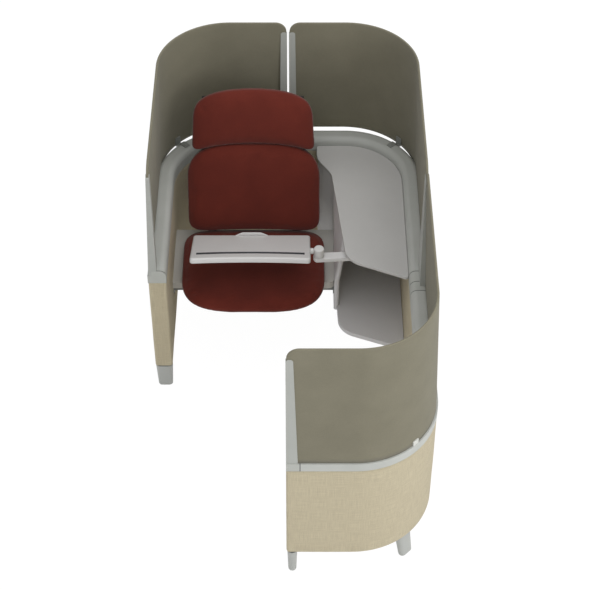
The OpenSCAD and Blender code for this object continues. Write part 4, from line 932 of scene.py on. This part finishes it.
def tray_moulding():
    """Rows: slot floor, slot wall, slot rim, top, rounded edge, side, rounded edge, underside."""
    outer = tray_outline()
    slot_rim = slot_outline(outer)
    slot_middle = TRAY_Y[0] + SLOT_IN + SLOT_WIDE / 2 - SLOT_BACK
    floor = np.stack([slot_rim[:, 0], slot_middle + far_edge(slot_rim[:, 0])], -1)
    away, r, top = outward(outer), 0.007, TRAY_HALF
    turns = np.radians(np.linspace(0, 90, 7))[:, None, None]
    over = outer - away * (r - r * np.sin(turns))
    over_z = top - r + r * np.cos(turns[:, 0, 0])
    between = slot_rim * 0.5 + (outer - away * r) * 0.5
    rows = [floor, slot_rim, slot_rim, between, *over, *over[::-1]]
    high = [top - SLOT_DEEP, top - SLOT_DEEP, top, top, *over_z, *(-over_z[::-1])]
    points = np.stack([np.hstack([row, np.full((TRAY_POINTS, 1), h)])
                       for row, h in zip(rows, high)])
    obj = plain_grid("tray_moulding", on_tray(points))
    built = bmesh.new()
    built.from_mesh(obj.data)
    bmesh.ops.remove_doubles(built, verts=built.verts, dist=0.00002)
    built.to_mesh(obj.data)
    built.free()
    return turned_outward(obj)


def faces_in_slot(mesh):
    """Which faces lie below the tray's top, inside a box round the slot."""
    centres = points_of(mesh.polygons, "center") - TILT_AXIS
    z = centres[:, 2] * math.cos(TILT) + centres[:, 1] * math.sin(TILT)
    y = centres[:, 1] * math.cos(TILT) - centres[:, 2] * math.sin(TILT)
    inside = (z > -0.004) & (z < 0.0119) & (y > -0.09) & (y < -0.03)
    return inside & (np.abs(centres[:, 0] + 0.275) < 0.222)


tray_mould = tray_moulding()
dress(tray_mould, "tray", "tray_top", "tray_grey")
tray_mould.data.materials.append(hard["slot_dark"])
dark_faces = faces_in_slot(tray_mould.data)
tray_mould.data.polygons.foreach_set("material_index", dark_faces.astype(np.int32))
even_shading(tray_mould)
print("tray faces:", len(tray_mould.data.polygons), "dark:", int(dark_faces.sum()))

# %% [markdown]
# ### Arm, knob and lip
# The arm is a flat bar with round ends. The knob is a turned form: a profile spun round an
# upright axis, with its top edge rounded over. The lip is a low arch on the user's edge.

# %% Arm
KNOB_XY, PIVOT_XY = np.array([0.126, 0.165]), np.array([0.345464, 0.180346])


def bar_plan():
    """Round ends of 23 mm radius, cut where the bar's edges, 20 mm from its middle, meet them."""
    r, half = 0.023, 0.02
    way = (PIVOT_XY - KNOB_XY) / np.linalg.norm(PIVOT_XY - KNOB_XY)
    side = np.array([-way[1], way[0]])
    meet = math.acos(half / r)
    a = np.linspace(math.pi / 2 + meet, 3 * math.pi / 2 - meet, 40)[:, None]
    b = np.linspace(-math.pi / 2 + meet, math.pi / 2 - meet, 40)[:, None]
    near = KNOB_XY + r * (np.cos(a) * way + np.sin(a) * side)
    far = PIVOT_XY + r * (np.cos(b) * way + np.sin(b) * side)
    return evenly(np.vstack([near, far]), 200)


arm_bar = soft_slab("arm_bar", bar_plan(), 0.5947, 0.6147, 0.004, "arm", "tray_arm", "tray_grey")
print("arm faces:", len(arm_bar.data.polygons))

# %% Knob
def turned(name, profile, centre):
    """The profile's radii and heights spun round the upright axis through centre."""
    a = np.linspace(0, 2 * np.pi, 72, endpoint=False)
    ring = np.stack([np.cos(a), np.sin(a)], -1)
    return stacked(name, profile[:, 0][:, None, None] * ring[None] + centre, profile[:, 1])


KNOB_EDGE = 0.0055    # radius of the knob's rounded top edge
bend = np.radians(np.linspace(0, 90, 10))
knob_shoulder = np.stack([0.0155 + KNOB_EDGE * np.cos(bend),
                          0.6515 + KNOB_EDGE * np.sin(bend)], -1)
knob_profile = np.vstack([[0.004, 0.615], [0.0204, 0.615], [0.021, 0.6156], knob_shoulder,
                          [0.009, 0.6572], [0.003, 0.6573]])
knob_cap = turned("knob_cap", knob_profile, KNOB_XY)
dress(knob_cap, "knob", "swivel_knob", "tray_grey")
print("knob profile points:", len(knob_profile))

# %% Lip
LIP_HALF, LIP_ARCH, LIP_CUT = 0.068, 0.019, 0.014    # half length, arch height, flat top
LIP_ROUND, LIP_ROOT = 0.003, 0.001    # rounding of the top edge, depth sunk into the tray


def lip_arch():
    """An arch h(x) of one circle, cut flat; its top edge is half an ellipse across y."""
    reach = LIP_HALF * np.sin(np.linspace(-np.pi / 2, np.pi / 2, 65))
    r = (LIP_HALF ** 2 + LIP_ARCH ** 2) / (2 * LIP_ARCH)
    h = np.clip(LIP_ARCH - r + np.sqrt(r * r - reach ** 2), 0.0002, LIP_CUT)[:, None]
    phi = np.radians(np.linspace(0, 180, 13))[None]
    y = 0.1565 + 0.0035 * np.cos(phi) + 0 * h
    z = TRAY_HALF + np.clip(h - LIP_ROUND, 0, None) + np.clip(h, None, LIP_ROUND) * np.sin(phi)
    root = TRAY_HALF - LIP_ROOT + 0 * h
    y = np.concatenate([0.1600 + 0 * h, y, 0.1530 + 0 * h], 1)
    z = np.concatenate([root, z, root], 1)
    x = np.broadcast_to(TRAY_MIDDLE + reach[:, None], y.shape)
    return turned_outward(plain_grid("lip_arch", on_tray(np.stack([x, y, z], -1))))


lip = lip_arch()
dress(lip, "tray", "tray_lip", "tray_grey")
print("lip faces:", len(lip.data.polygons))

# %% [markdown]
# ### Legs
# Each leg is a tapered oval post. Those at the ends of the wall lie across it, those at its
# corners lie along it, and the front corner's foot also steps outward.

# %% Legs
LEG_TOP, LEG_FOOT = (0.071, 0.038), (0.060, 0.031)    # length and width of the oval
LEG_HIGH, LEG_EDGE = 0.122, 0.005    # where the taper starts, radius of the foot's edge
LEG_POINTS = 64


def oval_leg(name, node, centre, degrees, splay):
    """Ovals, two half circles on a straight, that taper from LEG_TOP to LEG_FOOT."""
    curve = 0.004 + LEG_EDGE * (1 - np.sin(np.radians([30, 60, 90])))
    z = np.concatenate([[0.124], np.linspace(LEG_HIGH, 0.009, 16), curve])
    t = np.clip((LEG_HIGH - z) / 0.115, 0, 1)
    curl = np.clip((0.009 - z) / LEG_EDGE, 0, 1)
    trim = LEG_EDGE * (1 - np.sqrt(1 - curl ** 2 * 0.98))
    length = LEG_TOP[0] - (LEG_TOP[0] - LEG_FOOT[0]) * t - 2 * trim
    width = LEG_TOP[1] - (LEG_TOP[1] - LEG_FOOT[1]) * t - 2 * trim
    half_wide, straight = width[:, None] / 2, ((length - width) / 2)[:, None]
    a = (np.linspace(0, 2 * np.pi, LEG_POINTS, endpoint=False) + np.pi / LEG_POINTS)[None]
    x = half_wide * np.cos(a) + np.sign(np.cos(a)) * straight
    y = half_wide * np.sin(a) - splay * t[:, None]
    turn = math.radians(degrees)
    xy = np.stack([centre[0] + x * math.cos(turn) - y * math.sin(turn),
                   centre[1] + x * math.sin(turn) + y * math.cos(turn)], -1)
    dress(stacked(name, xy, z), "frame", node, "leg_grey")


for row in (
        ("foot_right", "leg_right_end", (0.518, 0.0272), 0, 0),
        ("foot_left", "leg_left_end", (-0.518, 0.0272), 0, 0),
        ("foot_rear_right", "leg_rear_right", (0.43775, 0.77925), 135, 0),
        ("foot_rear_left", "leg_rear_left", (-0.43775, 0.77925), 45, 0),
        ("foot_corner", "leg_extension_corner", (0.43775, -0.83175), 45, 0.022),
        ("foot_front", "leg_extension_front", (0.019, -0.912), -90, 0)):
    oval_leg(*row)
print("legs are on")

# %% [markdown]
# ## Studio
# The floor is a large white sheet. The camera sees it and the sky as nearly plain white, but
# the floor still takes a faint shadow. The key lamp stands in front on the right. Two wider
# lamps, one high in front and one overhead, soften what it leaves dark.

# %% Floor and light
FLOOR_HALF = 30.0
SKY, SKY_SEEN = 0.62, 1.0    # how bright the sky shines, and how bright the camera sees it


def white_floor():
    """White for the camera, mixed with a lit white surface that holds the shadow."""
    material, tree, shader = new_finish("white_paper")
    shader.inputs["Base Color"].default_value = (0.9, 0.9, 0.9, 1.0)
    shader.inputs["Roughness"].default_value = 0.9
    glow = wire(tree, "ShaderNodeEmission", {"Color": (1, 1, 1, 1), "Strength": 1.05})
    rays = tree.nodes.new("ShaderNodeLightPath")
    seen = maths(tree, "MAXIMUM", rays.outputs["Is Camera Ray"], rays.outputs["Is Glossy Ray"])
    seen = maths(tree, "MAXIMUM", seen, rays.outputs["Is Transmission Ray"])
    share = maths(tree, "MULTIPLY", seen, 0.93)
    mix = wire(tree, "ShaderNodeMixShader", {0: share, 1: shader.outputs[0], 2: glow.outputs[0]})
    tree.links.new(mix.outputs[0], tree.nodes["Material Output"].inputs["Surface"])
    return material


def lamp(name, size, energy, place, aim):
    """A square soft lamp that points from place to aim."""
    data = bpy.data.lights.new(name, "AREA")
    data.size, data.energy = size, energy
    obj = bpy.data.objects.new(name, data)
    obj.location = place
    way = np.subtract(aim, place)
    tip, turn = math.acos(-way[2] / np.linalg.norm(way)), math.atan2(way[1], way[0])
    obj.rotation_euler = (tip, 0.0, turn - math.pi / 2)
    scene.collection.objects.link(obj)


corners = FLOOR_HALF * np.array([[-1, -1, 0], [1, -1, 0], [1, 1, 0], [-1, 1, 0]])
floor = mesh_object("floor", corners, np.arange(4), np.array([4]))
floor.data.materials.append(white_floor())
lamp("key", 2.4, 68.0, (3.1, -3.2, 2.8), (0.0, -0.2, 0.5))
lamp("front", 3.0, 36.0, (0.2, -3.8, 4.8), (0.1, 0.0, 0.5))
lamp("overhead", 5.0, 62.0, (0.8, -0.2, 4.4), (0.1, 0.0, 0.5))

world = bpy.data.worlds.new("studio")
scene.world = world
world.use_nodes = True
sky = world.node_tree
seen = sky.nodes.new("ShaderNodeLightPath").outputs["Is Camera Ray"]
sky.nodes["Background"].inputs["Color"].default_value = (1, 1, 1, 1)
strength = maths(sky, "MULTIPLY_ADD", seen, SKY_SEEN - SKY, SKY)
sky.links.new(strength, sky.nodes["Background"].inputs["Strength"])
